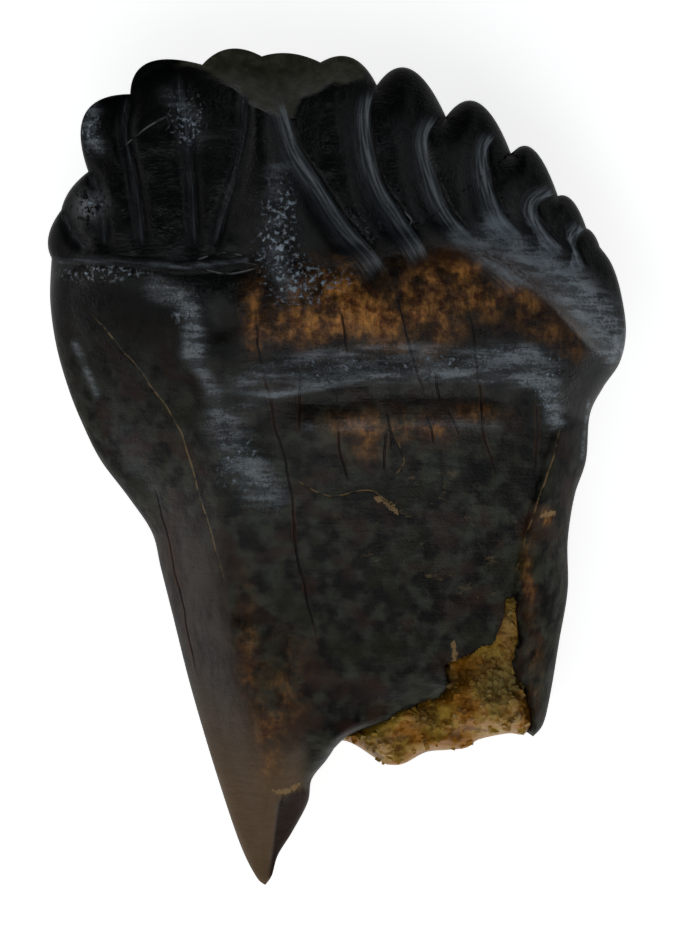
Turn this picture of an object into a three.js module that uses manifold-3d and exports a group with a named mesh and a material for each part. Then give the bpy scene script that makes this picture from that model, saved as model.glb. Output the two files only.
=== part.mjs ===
// A fossil pachycephalosaur tooth, broken through its root, lying on its back.
// Millimetres. X runs across the crown, Y from the root towards the crown's worn tip,
// and Z up out of the face that is seen. The tooth rests on worn spots at Z = 0.
import * as THREE from "three";
import { mergeVertices } from "three/addons/utils/BufferGeometryUtils.js";
import Module from "manifold-3d";

const wasm = await Module();
wasm.setup();

// Driving dimensions
const beltHeight = 4.43; // Z of the swollen belt between crown and root
const crownHeight = 4.02; // Z of the crown's face just above the belt
const rimHeight = 2.5; // Z of the side edges at Y = 0
const rimRise = 0.09; // the side edges rise this much per millimetre towards the tip
const crownEdge = 0.45; // width over which the crown rounds over to its edge
const rootEdge = 0.6; // the same on the root's sides
const backCrownEdge = 0.9; // the same two on the face that the tooth rests on
const backRootEdge = 1.5;
const brokenEdge = 0.14; // the same at the broken end
const crownBend = { perSquare: 0.055, middleX: -0.2 }; // how much each face curves away from its middle line
const rootBend = { perSquare: 0.05, middleX: 0.2 };
const backBend = { perSquare: 0.085, middleX: 0.3 };
const frontEdgeChange = { from: 1.5, to: 3.0 }; // Y over which the root's edge goes over to the crown's
const backEdgeChange = { from: 2.4, to: 4.0 };
const brokenEndStart = { y: [-3.4, -3.0], x: [-0.5, -0.1] }; // where the broken end right of the splinter begins
const leftTurn = { lateral: -1, power: 0.6, softness: 0.2 }; // how the face turns down beside each corner line
const rightTurn = { lateral: 1, power: 0.5, softness: 0.1 };
const thinnest = 0.05; // the face stays this far above the side edges
const pocketFloor = 1.15; // Z of the wall behind the crystal fill
const fillTop = 2.95; // Z of the fill's face
const fillTongue = { rise: 0.5, y: [-2.7, -2.0] }; // it climbs to its narrow upper end
const fillLooseEnd = { fall: 0.35, y: [-3.9, -3.0] }; // and falls to its loose end
const fillGap = 0.05; // clearance between the fill and the wall round it
const fillRounding = 0.16; // width over which the fill rounds over to its edge
const toothRings = 21; // rings of facets from the middle of a face to its rim
const fillRings = 8;
const rimCrowding = 0.85; // under 1 draws the rings towards the rim
const rimSamples = 4; // straight bits of the rim line on each facet's edge
const stepsPerPoint = 5; // straight bits of a smooth line for each point that it is given by
const weldDistance = 1e-4;

// Relief: width is the half width of a groove or swelling, height and depth are at its middle
const medianRidgeShape = { width: 0.42, heightAtTip: 0.16, heightAtBelt: 0.3, fullFrom: 0.5 };
const leftFurrowShape = { width: 0.15, depth: 0.16 };
const furrowEnds = { in: 0.12, out: 0.85, least: 0.35, taper: 0.4 }; // shares of its length and of its depth
const rightFurrowShape = { wall: 0.1, floor: 0.16, width: 0.5, depthAtTip: 0.1, depthAtBelt: 0.3, fullLength: 1.8 };
const rightFurrowRun = { deepens: [0.1, 0.9], fadesIn: [0.02, 0.2], fadesOut: [0.8, 1] }; // shares of its length
const growthFurrowShape = { width: 0.13, depth: 0.1 };
const growthRidgeShape = { width: 0.16, depth: -0.06 };
const rootFurrowShape = { width: 0.28, depth: 0.07 };
const backRibShape = { width: 0.16, depth: -0.12 };
const backRidgeShape = { width: 0.5, depth: 0.15 };
const ledgeSoftness = { left: 0.12, right: 0.24, fromX: -1.0, toX: 0.5 };
const facetSlope = 0.55; // fall of the worn bevel per millimetre from its lower edge
const chipSlope = 0.5; // the same for the chip beside the splinter's point
const chipStep = 0.12;

// Gentle waves over the faces and over the fill: each is two sines multiplied, with turns per X and Y and a start
const faceWaves = [
  { height: 0.03, one: [3.1, 1.7, 0], other: [-1.1, 2.3, 0.6] },
  { height: 0.015, one: [6.3, -2.9, 1.1], other: [2.2, 5.1, 0] },
];
const fillWaves = [
  { height: 0.11, one: [5.1, 0, 0.4], other: [0, 6.3, 1.0] },
  { height: 0.06, one: [11, 7, 0], other: [0, 0, Math.PI / 2] },
];
const backWaveShift = 3; // the waves of the hidden face are moved this far along X

// Crown edge: the low point between each two denticles, and the tip of each denticle
const crownNotches = [
  [-3.81, 2.81], [-3.68, 3.45], [-3.32, 3.96], [-2.76, 4.99], [-1.8, 5.38], [-1.01, 5.49], [-0.23, 5.41],
  [0.52, 5.11], [1.44, 4.69], [2.31, 4.19], [2.93, 3.64], [3.31, 3.21], [3.49, 2.96],
];
const crownTips = [
  [-3.85, 3.11], [-3.56, 3.72], [-3.36, 4.73], [-2.51, 5.41], [-1.44, 5.59], [-0.63, 5.53],
  [0.19, 5.47], [0.97, 5.32], [1.88, 4.87], [2.61, 4.25], [3.13, 3.57], [3.41, 3.13],
];
const crownSteps = [3, 4, 6, 6, 6, 5, 5, 6, 6, 6, 4, 3];

// Outline below the crown, clockwise from its right end
const rightSide = [
  [3.49, 2.96], [3.65, 2.73], [3.77, 2.36], [3.84, 1.85], [3.76, 1.43], [3.53, 1.08], [3.36, 0.72], [3.31, 0.12],
  [3.16, -0.35], [3.07, -0.95], [3.07, -1.61], [2.96, -2.28], [2.85, -2.95], [2.75, -3.39], [2.61, -3.57],
];
const brokenEnd = [
  [2.61, -3.57], [2.36, -3.45], [1.89, -3.3], [1.23, -3.27], [0.56, -3.42], [0.09, -3.6], [-0.17, -3.91],
  [-0.35, -4.15], [-0.4, -4.45], [-0.61, -4.85], [-0.8, -5.16], [-0.88, -5.43], [-0.97, -5.56],
];
const leftSide = [
  [-0.97, -5.56], [-1.09, -5.45], [-1.31, -5.0], [-1.63, -4.04], [-1.96, -2.92], [-2.2, -1.96], [-2.36, -1.32],
  [-2.48, -0.84], [-2.8, -0.36], [-3.16, 0.12], [-3.4, 0.6], [-3.59, 1.08], [-3.75, 1.65], [-3.83, 2.25],
  [-3.81, 2.81],
];
const sideSteps = { right: 34, broken: 26, left: 48 };

// Lines across the seen face
const ledgeLine = smooth([
  [-3.97, 2.81], [-2.77, 2.73], [-1.97, 2.65], [-1.01, 2.76], [-0.51, 2.76], [0.16, 2.81], [0.83, 3.03],
  [1.49, 3.08], [2.16, 2.84], [2.83, 2.39], [3.36, 1.79], [3.83, 1.45],
]);
const leftCorner = smooth([
  [-4.0, 2.78], [-2.9, 2.72], [-2.2, 2.6], [-1.84, 2.25], [-1.55, 1.45], [-1.47, 0.65], [-1.43, -0.41],
  [-1.41, -1.81], [-1.24, -2.55], [-1.01, -3.35], [-0.84, -4.28], [-0.91, -5.08], [-0.97, -5.7],
]);
const rightCorner = smooth([
  [3.5, 0.95], [3.0, 0.75], [2.75, 0.25], [2.6, -0.3], [2.45, -0.8], [2.36, -1.35], [2.27, -1.75], [2.2, -2.4],
  [2.3, -3.9],
]);
const medianRidge = smooth([[-1.11, 4.92], [-0.91, 3.59], [-0.51, 2.39]]);
const rootFurrow = smooth([[-1.15, -1.6], [-0.95, -2.7], [-0.7, -3.8]]);
const growthFurrows = [
  smooth([[-0.85, 0.86], [-0.1, 0.92], [0.8, 0.98], [1.7, 0.94], [2.5, 0.9]]),
  smooth([[-0.2, 1.3], [0.4, 1.42], [1.0, 1.52]]),
];
const growthRidges = [
  smooth([[-1.3, 1.25], [-0.2, 1.22], [0.9, 1.35], [2.0, 1.35], [2.85, 1.2]]),
  smooth([[-0.5, 0.52], [0.8, 0.58], [2.1, 0.58]]),
];
const pits = [
  { x: -1.57, y: 1.88, width: 0.26, depth: 0.12 },
  { x: -1.2, y: 0.56, width: 0.22, depth: 0.1 },
];

// Worn bevel across the tip, and the chip beside the splinter's point: lower edge, then the far side
const facetEdge = [
  [-2.15, 5.36], [-1.78, 5.3], [-1.42, 5.12], [-1.15, 4.9], [-0.87, 4.72], [-0.62, 4.7], [-0.48, 4.93],
  [-0.25, 5.0], [-0.05, 5.15], [0.12, 5.12], [0.35, 5.18], [0.42, 5.34],
];
const facetTop = [[0.3, 5.7], [-1.0, 5.8], [-1.9, 5.6]];
const chipEdge = [[-0.93, -5.45], [-0.86, -4.95], [-0.8, -4.42], [-0.62, -4.3], [-0.42, -4.28]];
const chipFar = [[-0.1, -4.6], [-0.5, -5.6]];

// Furrows of the crown, each from its notch down to the ledge
const leftFurrows = [
  smooth([[-3.68, 3.45], [-3.51, 3.12], [-3.31, 2.9]]),
  smooth([[-3.32, 3.99], [-3.17, 3.59], [-3.07, 2.92]]),
  smooth([[-2.76, 5.05], [-2.83, 4.52], [-2.73, 3.99], [-2.64, 3.45], [-2.56, 2.85]]),
  smooth([[-2.11, 5.35], [-2.05, 4.79], [-1.97, 4.12], [-1.92, 3.52], [-1.87, 2.85]]),
  smooth([[-1.21, 5.12], [-1.23, 4.79], [-1.25, 4.39], [-1.36, 3.85], [-1.51, 3.39], [-1.65, 2.85]]),
];
const rightFurrows = [
  smooth([[-0.77, 5.03], [-0.67, 4.76], [-0.51, 4.25], [-0.21, 3.79], [0.09, 3.32], [0.45, 2.92], [0.7, 2.55]]),
  smooth([[0.53, 5.12], [0.43, 4.72], [0.48, 4.19], [0.63, 3.72], [0.85, 3.39], [1.1, 3.0], [1.25, 2.7]]),
  smooth([[1.43, 4.76], [1.2, 4.39], [1.31, 3.85], [1.49, 3.43], [1.81, 3.05], [2.23, 2.76], [2.6, 2.4]]),
  smooth([[2.16, 4.45], [2.0, 4.25], [2.03, 3.85], [2.19, 3.39], [2.49, 3.05]]),
  smooth([[2.93, 3.66], [2.65, 3.5], [2.73, 3.21], [3.03, 2.89]]),
  smooth([[3.31, 3.21], [3.16, 3.0], [3.3, 2.65]]),
];

// Height along the tooth of the seen face and of the face it rests on: [Y, Z]
const rootProfile = [
  [-5.7, 2.1], [-4.6, 2.75], [-3.3, 3.4], [-1.8, 3.86], [-0.4, 4.14], [0.4, 4.28], [1.2, 4.38],
  [1.9, beltHeight], [2.5, 4.32], [3.0, 4.12], [4.0, 3.9],
];
const crownProfile = [
  [1.0, 4.2], [2.0, crownHeight], [2.7, 3.92], [3.3, 3.84], [4.0, 3.7], [4.7, 3.52], [5.2, 3.35], [5.7, 3.15],
];
const backProfile = [
  [-5.7, 1.3], [-4.4, 0.6], [-3.2, 0.1], [-2.4, -0.06], [-1.4, 0.06], [0, 0.18], [1.6, -0.02], [2.4, -0.06],
  [3.4, 0.5], [4.6, 1.55], [5.7, 2.5],
];

// Edge of the front wall where it broke away over the fill, clockwise, and the fill's loose end
const fractureEdge = [
  [-0.06, -3.75], [0.32, -3.56], [0.85, -3.22], [1.36, -3.04], [1.45, -2.85], [1.42, -2.6], [1.76, -2.48],
  [2.08, -2.28], [2.17, -2.04], [2.24, -1.73], [2.36, -1.72], [2.41, -2.28], [2.3, -2.57], [2.47, -2.92],
  [2.57, -3.19], [2.61, -3.45],
];
const fillEnd = [
  [2.45, -3.6], [2.23, -3.57], [1.95, -3.63], [1.52, -3.77], [1.1, -3.86], [0.75, -3.97], [0.45, -3.84],
  [0.2, -3.7],
];
const pocketEnd = [[2.6, -4.3], [0.0, -4.3]];
const fillMiddle = [2.03, -2.95];
const toothMiddle = [0.09, 2.4];

function smooth(points) {
  const curve = new THREE.SplineCurve(points.map(([x, y]) => new THREE.Vector2(x, y)));
  return curve.getPoints(stepsPerPoint * points.length);
}

const { clamp, lerp } = THREE.MathUtils;
const ramp = THREE.MathUtils.smoothstep;
const bell = (s) => Math.exp(-s * s);
const quarterRound = (s) => Math.sqrt(1 - (1 - clamp(s, 0, 1)) ** 2);

// Distance from a point to a line of points, the share of the line passed, and +1 left or -1 right of it
function nearest(line, x, y) {
  const best = { distance: Infinity, along: 0, side: 1 };
  for (let i = 0; i + 1 < line.length; i++) {
    const dx = line[i + 1].x - line[i].x;
    const dy = line[i + 1].y - line[i].y;
    const px = x - line[i].x;
    const py = y - line[i].y;
    const t = clamp((px * dx + py * dy) / (dx * dx + dy * dy), 0, 1);
    const distance = Math.hypot(px - t * dx, py - t * dy);
    if (distance < best.distance) {
      best.distance = distance;
      best.along = (i + t) / (line.length - 1);
      best.side = dx * py - dy * px < 0 ? -1 : 1;
    }
  }
  return best;
}

// Height of a profile at a place along the tooth, on a smooth curve through its stations
function heightOf(profile, y) {
  const last = profile.length - 1;
  const slope = (i) => {
    const [a, b] = [profile[Math.max(i - 1, 0)], profile[Math.min(i + 1, last)]];
    return (b[1] - a[1]) / (b[0] - a[0]);
  };
  let i = 0;
  while (i < last - 1 && y > profile[i + 1][0]) i++;
  const span = profile[i + 1][0] - profile[i][0];
  const t = clamp((y - profile[i][0]) / span, 0, 1);
  return (
    (2 * t ** 3 - 3 * t ** 2 + 1) * profile[i][1] +
    (t ** 3 - 2 * t ** 2 + t) * span * slope(i) +
    (3 * t ** 2 - 2 * t ** 3) * profile[i + 1][1] +
    (t ** 3 - t ** 2) * span * slope(i + 1)
  );
}

// Outline of the tooth: a quadratic arc over each denticle, then smooth sides and the broken end
function toothStretches() {
  const point = ([x, y]) => new THREE.Vector2(x, y);
  const denticles = crownTips.map((tip, i) => {
    const [from, to] = [point(crownNotches[i]), point(crownNotches[i + 1])];
    const pull = point(tip).multiplyScalar(2).sub(from.clone().add(to).multiplyScalar(0.5));
    return { curve: new THREE.QuadraticBezierCurve(from, pull, to), steps: crownSteps[i] };
  });
  const side = (points, steps) => ({ curve: new THREE.SplineCurve(points.map(point)), steps });
  return [
    ...denticles,
    side(rightSide, sideSteps.right),
    side(brokenEnd, sideSteps.broken),
    side(leftSide, sideSteps.left),
  ];
}

// Point of an outline made of stretches, at a share of its steps
function rimPoint(stretches, share) {
  let rest = (share % 1) * stretches.reduce((sum, stretch) => sum + stretch.steps, 0);
  for (const { curve, steps } of stretches) {
    if (rest < steps) return curve.getPointAt(rest / steps);
    rest -= steps;
  }
  return stretches[0].curve.getPoint(0);
}

// Closed body between two height functions that meet along a rim: square rings of points round a middle
function pillow(rim, middle, rings, top, bottom) {
  const side = 2 * rings + 1;
  const positions = [];
  for (const height of [top, bottom]) {
    for (let j = -rings; j <= rings; j++) {
      for (let i = -rings; i <= rings; i++) {
        const ring = Math.max(Math.abs(i), Math.abs(j));
        const [x, y] = placeOnRing(rim, middle, i, j, ring, rings);
        positions.push(x, y, height(x, y, ring === rings));
      }
    }
  }
  const triangles = [];
  for (let j = 0; j < 2 * rings; j++) {
    for (let i = 0; i < 2 * rings; i++) {
      const corner = [j * side + i, j * side + i + 1, (j + 1) * side + i + 1, (j + 1) * side + i];
      const turn = (i + 0.5 - rings) * (j + 0.5 - rings) > 0 ? 0 : 1;
      const [a, b, c, d] = [0, 1, 2, 3].map((n) => corner[(n + turn) % 4]);
      triangles.push(a, b, c, a, c, d);
      const under = side * side;
      triangles.push(under + a, under + c, under + b, under + a, under + d, under + c);
    }
  }
  const geometry = new THREE.BufferGeometry();
  geometry.setAttribute("position", new THREE.Float32BufferAttribute(positions, 3));
  geometry.setIndex(triangles);
  return geometry;
}

function placeOnRing(rim, middle, i, j, ring, rings) {
  if (ring === 0) return middle;
  let step = 6 * ring + i + ring;
  if (j === ring) step = 3 * ring - i;
  else if (i === ring) step = j + ring;
  else if (i === -ring) step = 5 * ring - j;
  const share = 1 - step / (8 * ring);
  const out = rim(share);
  const reach = (ring / rings) ** rimCrowding;
  return [middle[0] + reach * (out.x - middle[0]), middle[1] + reach * (out.y - middle[1])];
}

function solidOf(geometry) {
  const bare = geometry.clone();
  bare.deleteAttribute("normal");
  bare.deleteAttribute("uv");
  const merged = mergeVertices(bare, weldDistance);
  return new wasm.Manifold(
    new wasm.Mesh({
      numProp: 3,
      vertProperties: merged.attributes.position.array,
      triVerts: new Uint32Array(merged.index.array),
    }),
  );
}

function geometryOf(solid) {
  const { vertProperties, triVerts } = solid.getMesh();
  const geometry = new THREE.BufferGeometry();
  geometry.setAttribute("position", new THREE.BufferAttribute(vertProperties, 3));
  geometry.setIndex(new THREE.BufferAttribute(triVerts, 1));
  geometry.computeVertexNormals();
  return geometry;
}

const stretches = toothStretches();
const toothRim = (share) => rimPoint(stretches, share);
const rimCount = rimSamples * 8 * toothRings; // a square ring has 8 edges for each ring inside it
const rimLine = Array.from({ length: rimCount + 1 }, (_, i) => toothRim((i % rimCount) / rimCount));

const rimZ = (y) => rimHeight + rimRise * y;
const lowRight = (x, y) => (1 - ramp(y, ...brokenEndStart.y)) * ramp(x, ...brokenEndStart.x);
const fromMiddle = (x, { perSquare, middleX }) => perSquare * (x - middleX) ** 2;

function wavesAt(waves, x, y) {
  const sine = ([perX, perY, start]) => Math.sin(perX * x + perY * y + start);
  return waves.reduce((sum, { height, one, other }) => sum + height * sine(one) * sine(other), 0);
}

// Groove along a line, shallower towards its ends. A depth under 0 makes it a rib.
function furrow(line, x, y, { width, depth }) {
  const { distance, along } = nearest(line, x, y);
  const ends = ramp(along, 0, furrowEnds.in) * (1 - ramp(along, furrowEnds.out, 1));
  return -depth * bell(distance / width) * (1 - furrowEnds.taper * along) * lerp(furrowEnds.least, 1, ends);
}

const furrows = (lines, x, y, shape) => lines.reduce((sum, line) => sum + furrow(line, x, y, shape), 0);

// A furrow with a steep wall on its left and a gentle one on its right
function steepFurrow(line, x, y) {
  const { wall, floor, width, depthAtTip, depthAtBelt, fullLength } = rightFurrowShape;
  const { distance, along, side } = nearest(line, x, y);
  const right = -side * distance;
  const across = ramp(right, -wall, wall) * (1 - ramp(right, floor, width));
  const length = line.slice(1).reduce((sum, point, i) => sum + point.distanceTo(line[i]), 0);
  const { deepens, fadesIn, fadesOut } = rightFurrowRun;
  const depth = lerp(depthAtTip, depthAtBelt, ramp(along, ...deepens)) * Math.min(1, length / fullLength);
  return -depth * across * ramp(along, ...fadesIn) * (1 - ramp(along, ...fadesOut));
}

// 1 on the swollen belt and the root, 0 on the crown
function beltShare(x, y) {
  const ledge = nearest(ledgeLine, x, y);
  const { left, right, fromX, toX } = ledgeSoftness;
  const softness = lerp(left, right, ramp(x, fromX, toX));
  return 1 - ramp(ledge.side * ledge.distance, -softness, softness);
}

function crownRelief(x, y) {
  const ridge = nearest(medianRidge, x, y);
  const { width, heightAtTip, heightAtBelt, fullFrom } = medianRidgeShape;
  const swelling = lerp(heightAtTip, heightAtBelt, ramp(ridge.along, 0, fullFrom)) * bell(ridge.distance / width);
  const right = rightFurrows.reduce((sum, line) => sum + steepFurrow(line, x, y), 0);
  return swelling + furrows(leftFurrows, x, y, leftFurrowShape) + right;
}

function rootRelief(x, y) {
  const ripples = furrows(growthFurrows, x, y, growthFurrowShape) + furrows(growthRidges, x, y, growthRidgeShape);
  const dents = pits.reduce((sum, pit) => sum - pit.depth * bell(Math.hypot(x - pit.x, y - pit.y) / pit.width), 0);
  return ripples + furrow(rootFurrow, x, y, rootFurrowShape) + dents;
}

// Where a broken or worn place lies: 1 inside its closed line, and the distance to the line's lower edge
function facetAt(edge, farSide, x, y) {
  const points = [...edge, ...farSide].map(([px, py]) => new THREE.Vector2(px, py));
  let inside = false;
  points.forEach((a, i) => {
    const b = points[(i + 1) % points.length];
    if (a.y > y !== b.y > y && x < a.x + ((y - a.y) / (b.y - a.y)) * (b.x - a.x)) inside = !inside;
  });
  return { inside: inside ? 1 : 0, pastEdge: nearest(points.slice(0, edge.length), x, y).distance };
}

// Share of the full height left beside a corner line, where the face turns down to the rim
function turnedDown(line, { lateral, power, softness }, x, y, rimDistance) {
  const corner = nearest(line, x, y);
  if (corner.side !== lateral) return 1;
  const distance = Math.hypot(corner.distance, softness) - softness;
  return (rimDistance / (rimDistance + distance)) ** power;
}

function frontZ(x, y, onRim) {
  const middle = rimZ(y);
  if (onRim) return middle;
  const rimDistance = nearest(rimLine, x, y).distance;
  const whole = lerp(rootEdge, crownEdge, ramp(y, frontEdgeChange.from, frontEdgeChange.to));
  const width = lerp(whole, brokenEdge, lowRight(x, y));
  const facet = facetAt(facetEdge, facetTop, x, y);
  const chip = facetAt(chipEdge, chipFar, x, y);
  const low = heightOf(rootProfile, y) - fromMiddle(x, rootBend) + rootRelief(x, y);
  const high = heightOf(crownProfile, y) - fromMiddle(x, crownBend) + crownRelief(x, y) * (1 - facet.inside);
  const worn = facetSlope * facet.pastEdge * facet.inside + (chipStep + chipSlope * chip.pastEdge) * chip.inside;
  const face = lerp(high, low, beltShare(x, y)) + wavesAt(faceWaves, x, y) - worn;
  const share = Math.min(
    quarterRound(rimDistance / width),
    turnedDown(leftCorner, leftTurn, x, y, rimDistance),
    turnedDown(rightCorner, rightTurn, x, y, rimDistance),
  );
  return middle + Math.max(face - middle, thinnest) * share;
}

function backZ(x, y, onRim) {
  const middle = rimZ(y);
  if (onRim) return middle;
  const rimDistance = nearest(rimLine, x, y).distance;
  const whole = lerp(backRootEdge, backCrownEdge, ramp(y, backEdgeChange.from, backEdgeChange.to));
  const width = lerp(whole, brokenEdge, lowRight(x, y));
  const ribs = furrows([...leftFurrows, ...rightFurrows], x, y, backRibShape);
  const ridge = furrow(medianRidge, x, y, backRidgeShape);
  const waves = wavesAt(faceWaves, x + backWaveShift, y);
  const face = heightOf(backProfile, y) + fromMiddle(x, backBend) + ribs + ridge + waves;
  return Math.max(0, middle + (face - middle) * quarterRound(rimDistance / width));
}

// Polygon moved along its own normals, outwards where the amount is positive and the order clockwise
function offset(points, amount) {
  const count = points.length;
  return points.map(([x, y], i) => {
    const before = points[(i + count - 1) % count];
    const after = points[(i + 1) % count];
    const run = new THREE.Vector2(after[0] - before[0], after[1] - before[1]).normalize();
    return [x - run.y * amount, y + run.x * amount];
  });
}

// Rim made of straight stretches, with the same number of steps on each edge of the polygon
function polygonRim(points) {
  const loop = [...points, points[0]].map(([x, y]) => new THREE.Vector2(x, y));
  return (share) => {
    const place = (share % 1) * points.length;
    const edge = Math.floor(place);
    return loop[edge].clone().lerp(loop[edge + 1], place - edge);
  };
}

function makeFill() {
  const outline = offset([...fractureEdge, ...fillEnd], -fillGap);
  const edge = [...outline, outline[0]].map(([x, y]) => new THREE.Vector2(x, y));
  const halfWay = (pocketFloor + fillTop) / 2;
  const top = (x, y, onRim) => {
    if (onRim) return halfWay;
    const rounding = quarterRound(nearest(edge, x, y).distance / fillRounding);
    const tongue = fillTongue.rise * ramp(y, ...fillTongue.y);
    const looseEnd = fillLooseEnd.fall * (1 - ramp(y, ...fillLooseEnd.y));
    return halfWay + (fillTop + tongue - looseEnd + wavesAt(fillWaves, x, y) - halfWay) * rounding;
  };
  const bottom = (x, y, onRim) => {
    if (onRim) return halfWay;
    const rounding = quarterRound(nearest(edge, x, y).distance / fillRounding);
    return halfWay + (pocketFloor + fillGap - halfWay) * rounding;
  };
  return geometryOf(solidOf(pillow(polygonRim(outline), fillMiddle, fillRings, top, bottom)));
}

function makePocket() {
  const outline = [...fractureEdge, ...pocketEnd];
  const shape = new THREE.Shape(outline.map(([x, y]) => new THREE.Vector2(x, y)));
  const block = new THREE.ExtrudeGeometry(shape, { depth: beltHeight, bevelEnabled: false });
  return solidOf(block.translate(0, 0, pocketFloor));
}

function makeTooth() {
  const body = solidOf(pillow(toothRim, toothMiddle, toothRings, frontZ, backZ));
  return geometryOf(body.subtract(makePocket()));
}

const enamel = new THREE.MeshStandardMaterial({ color: 0x2a2c2b, roughness: 0.3, metalness: 0 });
const crystal = new THREE.MeshStandardMaterial({ color: 0xb08a45, roughness: 0.7, metalness: 0 });

const tooth = new THREE.Mesh(makeTooth(), enamel);
tooth.name = "tooth";
const rootFill = new THREE.Mesh(makeFill(), crystal);
rootFill.name = "root_fill";

const group = new THREE.Group();
group.add(tooth, rootFill);

// The origin is the middle of the outline, on the surface that the tooth lies on
const box = new THREE.Box3().setFromObject(group);
group.position.set(-(box.min.x + box.max.x) / 2, -(box.min.y + box.max.y) / 2, -box.min.z);

export default group;
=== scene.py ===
"""A fossil pachycephalosaur tooth, dressed for a picture from straight above.

The tooth lies on its back: X runs across the crown, Y from the broken root to the worn tip, and Z up out of
the face that is seen. Places on the tooth are in millimetres from the middle of its outline.
"""

import bpy
import numpy as np
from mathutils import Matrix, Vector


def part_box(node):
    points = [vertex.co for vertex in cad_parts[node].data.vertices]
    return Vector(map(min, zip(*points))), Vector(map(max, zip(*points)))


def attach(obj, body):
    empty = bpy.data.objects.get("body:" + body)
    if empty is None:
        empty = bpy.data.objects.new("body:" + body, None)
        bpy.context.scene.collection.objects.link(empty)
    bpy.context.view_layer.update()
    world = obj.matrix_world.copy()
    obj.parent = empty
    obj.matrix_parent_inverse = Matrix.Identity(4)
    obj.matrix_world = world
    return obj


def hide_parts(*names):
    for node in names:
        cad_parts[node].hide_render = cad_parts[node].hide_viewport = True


bl_info = {
    "name": "Fossil dome-headed dinosaur tooth",
    "version": (1, 0, 0),
    "blender": (4, 5, 0),
    "location": "View3D > Sidebar > Tooth",
    "description": "Makes the tooth, the crystals in its broken root, and a plain stage",
    "category": "Add Mesh",
}

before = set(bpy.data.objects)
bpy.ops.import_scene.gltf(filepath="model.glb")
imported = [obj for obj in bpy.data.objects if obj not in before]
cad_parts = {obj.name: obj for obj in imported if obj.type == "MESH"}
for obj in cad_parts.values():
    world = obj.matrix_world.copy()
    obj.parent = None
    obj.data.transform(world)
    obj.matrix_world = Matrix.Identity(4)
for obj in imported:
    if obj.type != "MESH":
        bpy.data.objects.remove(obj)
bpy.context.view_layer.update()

MM = 0.001
POINTS_PER_MM = 75.0  # of the picture
PICTURE = (686, 931)
TOOTH_IN_PICTURE = (337.0, 468.0)  # middle of the tooth's outline

# Crown edge: the low point between each two denticles, and the tip of each denticle
CROWN_NOTCHES = [
    (-3.81, 2.81), (-3.68, 3.45), (-3.32, 3.96), (-2.76, 4.99), (-1.80, 5.38), (-1.01, 5.49), (-0.23, 5.41),
    (0.52, 5.11), (1.44, 4.69), (2.31, 4.19), (2.93, 3.64), (3.31, 3.21), (3.49, 2.96),
]
CROWN_TIPS = [
    (-3.85, 3.11), (-3.56, 3.72), (-3.36, 4.73), (-2.51, 5.41), (-1.44, 5.59), (-0.63, 5.53),
    (0.19, 5.47), (0.97, 5.32), (1.88, 4.87), (2.61, 4.25), (3.13, 3.57), (3.41, 3.13),
]
CROWN_STEPS = [3, 4, 6, 6, 6, 5, 5, 6, 6, 6, 4, 3]
RIGHT_SIDE = [
    (3.49, 2.96), (3.65, 2.73), (3.77, 2.36), (3.84, 1.85), (3.76, 1.43), (3.53, 1.08), (3.36, 0.72),
    (3.31, 0.12), (3.16, -0.35), (3.07, -0.95), (3.07, -1.61), (2.96, -2.28), (2.85, -2.95), (2.75, -3.39),
    (2.61, -3.57),
]
BROKEN_END = [
    (2.61, -3.57), (2.36, -3.45), (1.89, -3.30), (1.23, -3.27), (0.56, -3.42), (0.09, -3.60), (-0.17, -3.91),
    (-0.35, -4.15), (-0.40, -4.45), (-0.61, -4.85), (-0.80, -5.16), (-0.88, -5.43), (-0.97, -5.56),
]
LEFT_SIDE = [
    (-0.97, -5.56), (-1.09, -5.45), (-1.31, -5.00), (-1.63, -4.04), (-1.96, -2.92), (-2.20, -1.96),
    (-2.36, -1.32), (-2.48, -0.84), (-2.80, -0.36), (-3.16, 0.12), (-3.40, 0.60), (-3.59, 1.08),
    (-3.75, 1.65), (-3.83, 2.25), (-3.81, 2.81),
]
SIDE_STEPS = (34, 26, 48)
TOOTH_MIDDLE = (0.09, 2.40)

# Height along the tooth of the seen face and of the face it rests on: (Y, Z)
ROOT_PROFILE = [
    (-5.7, 2.1), (-4.6, 2.75), (-3.3, 3.4), (-1.8, 3.86), (-0.4, 4.14), (0.4, 4.28), (1.2, 4.38), (1.9, 4.43),
    (2.5, 4.32), (3.0, 4.12), (4.0, 3.9),
]
CROWN_PROFILE = [
    (1.0, 4.2), (2.0, 4.02), (2.7, 3.92), (3.3, 3.84), (4.0, 3.7), (4.7, 3.52), (5.2, 3.35), (5.7, 3.15),
]
BACK_PROFILE = [
    (-5.7, 1.3), (-4.4, 0.6), (-3.2, 0.1), (-2.4, -0.06), (-1.4, 0.06), (0.0, 0.18), (1.6, -0.02),
    (2.4, -0.06), (3.4, 0.5), (4.6, 1.55), (5.7, 2.5),
]

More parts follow.
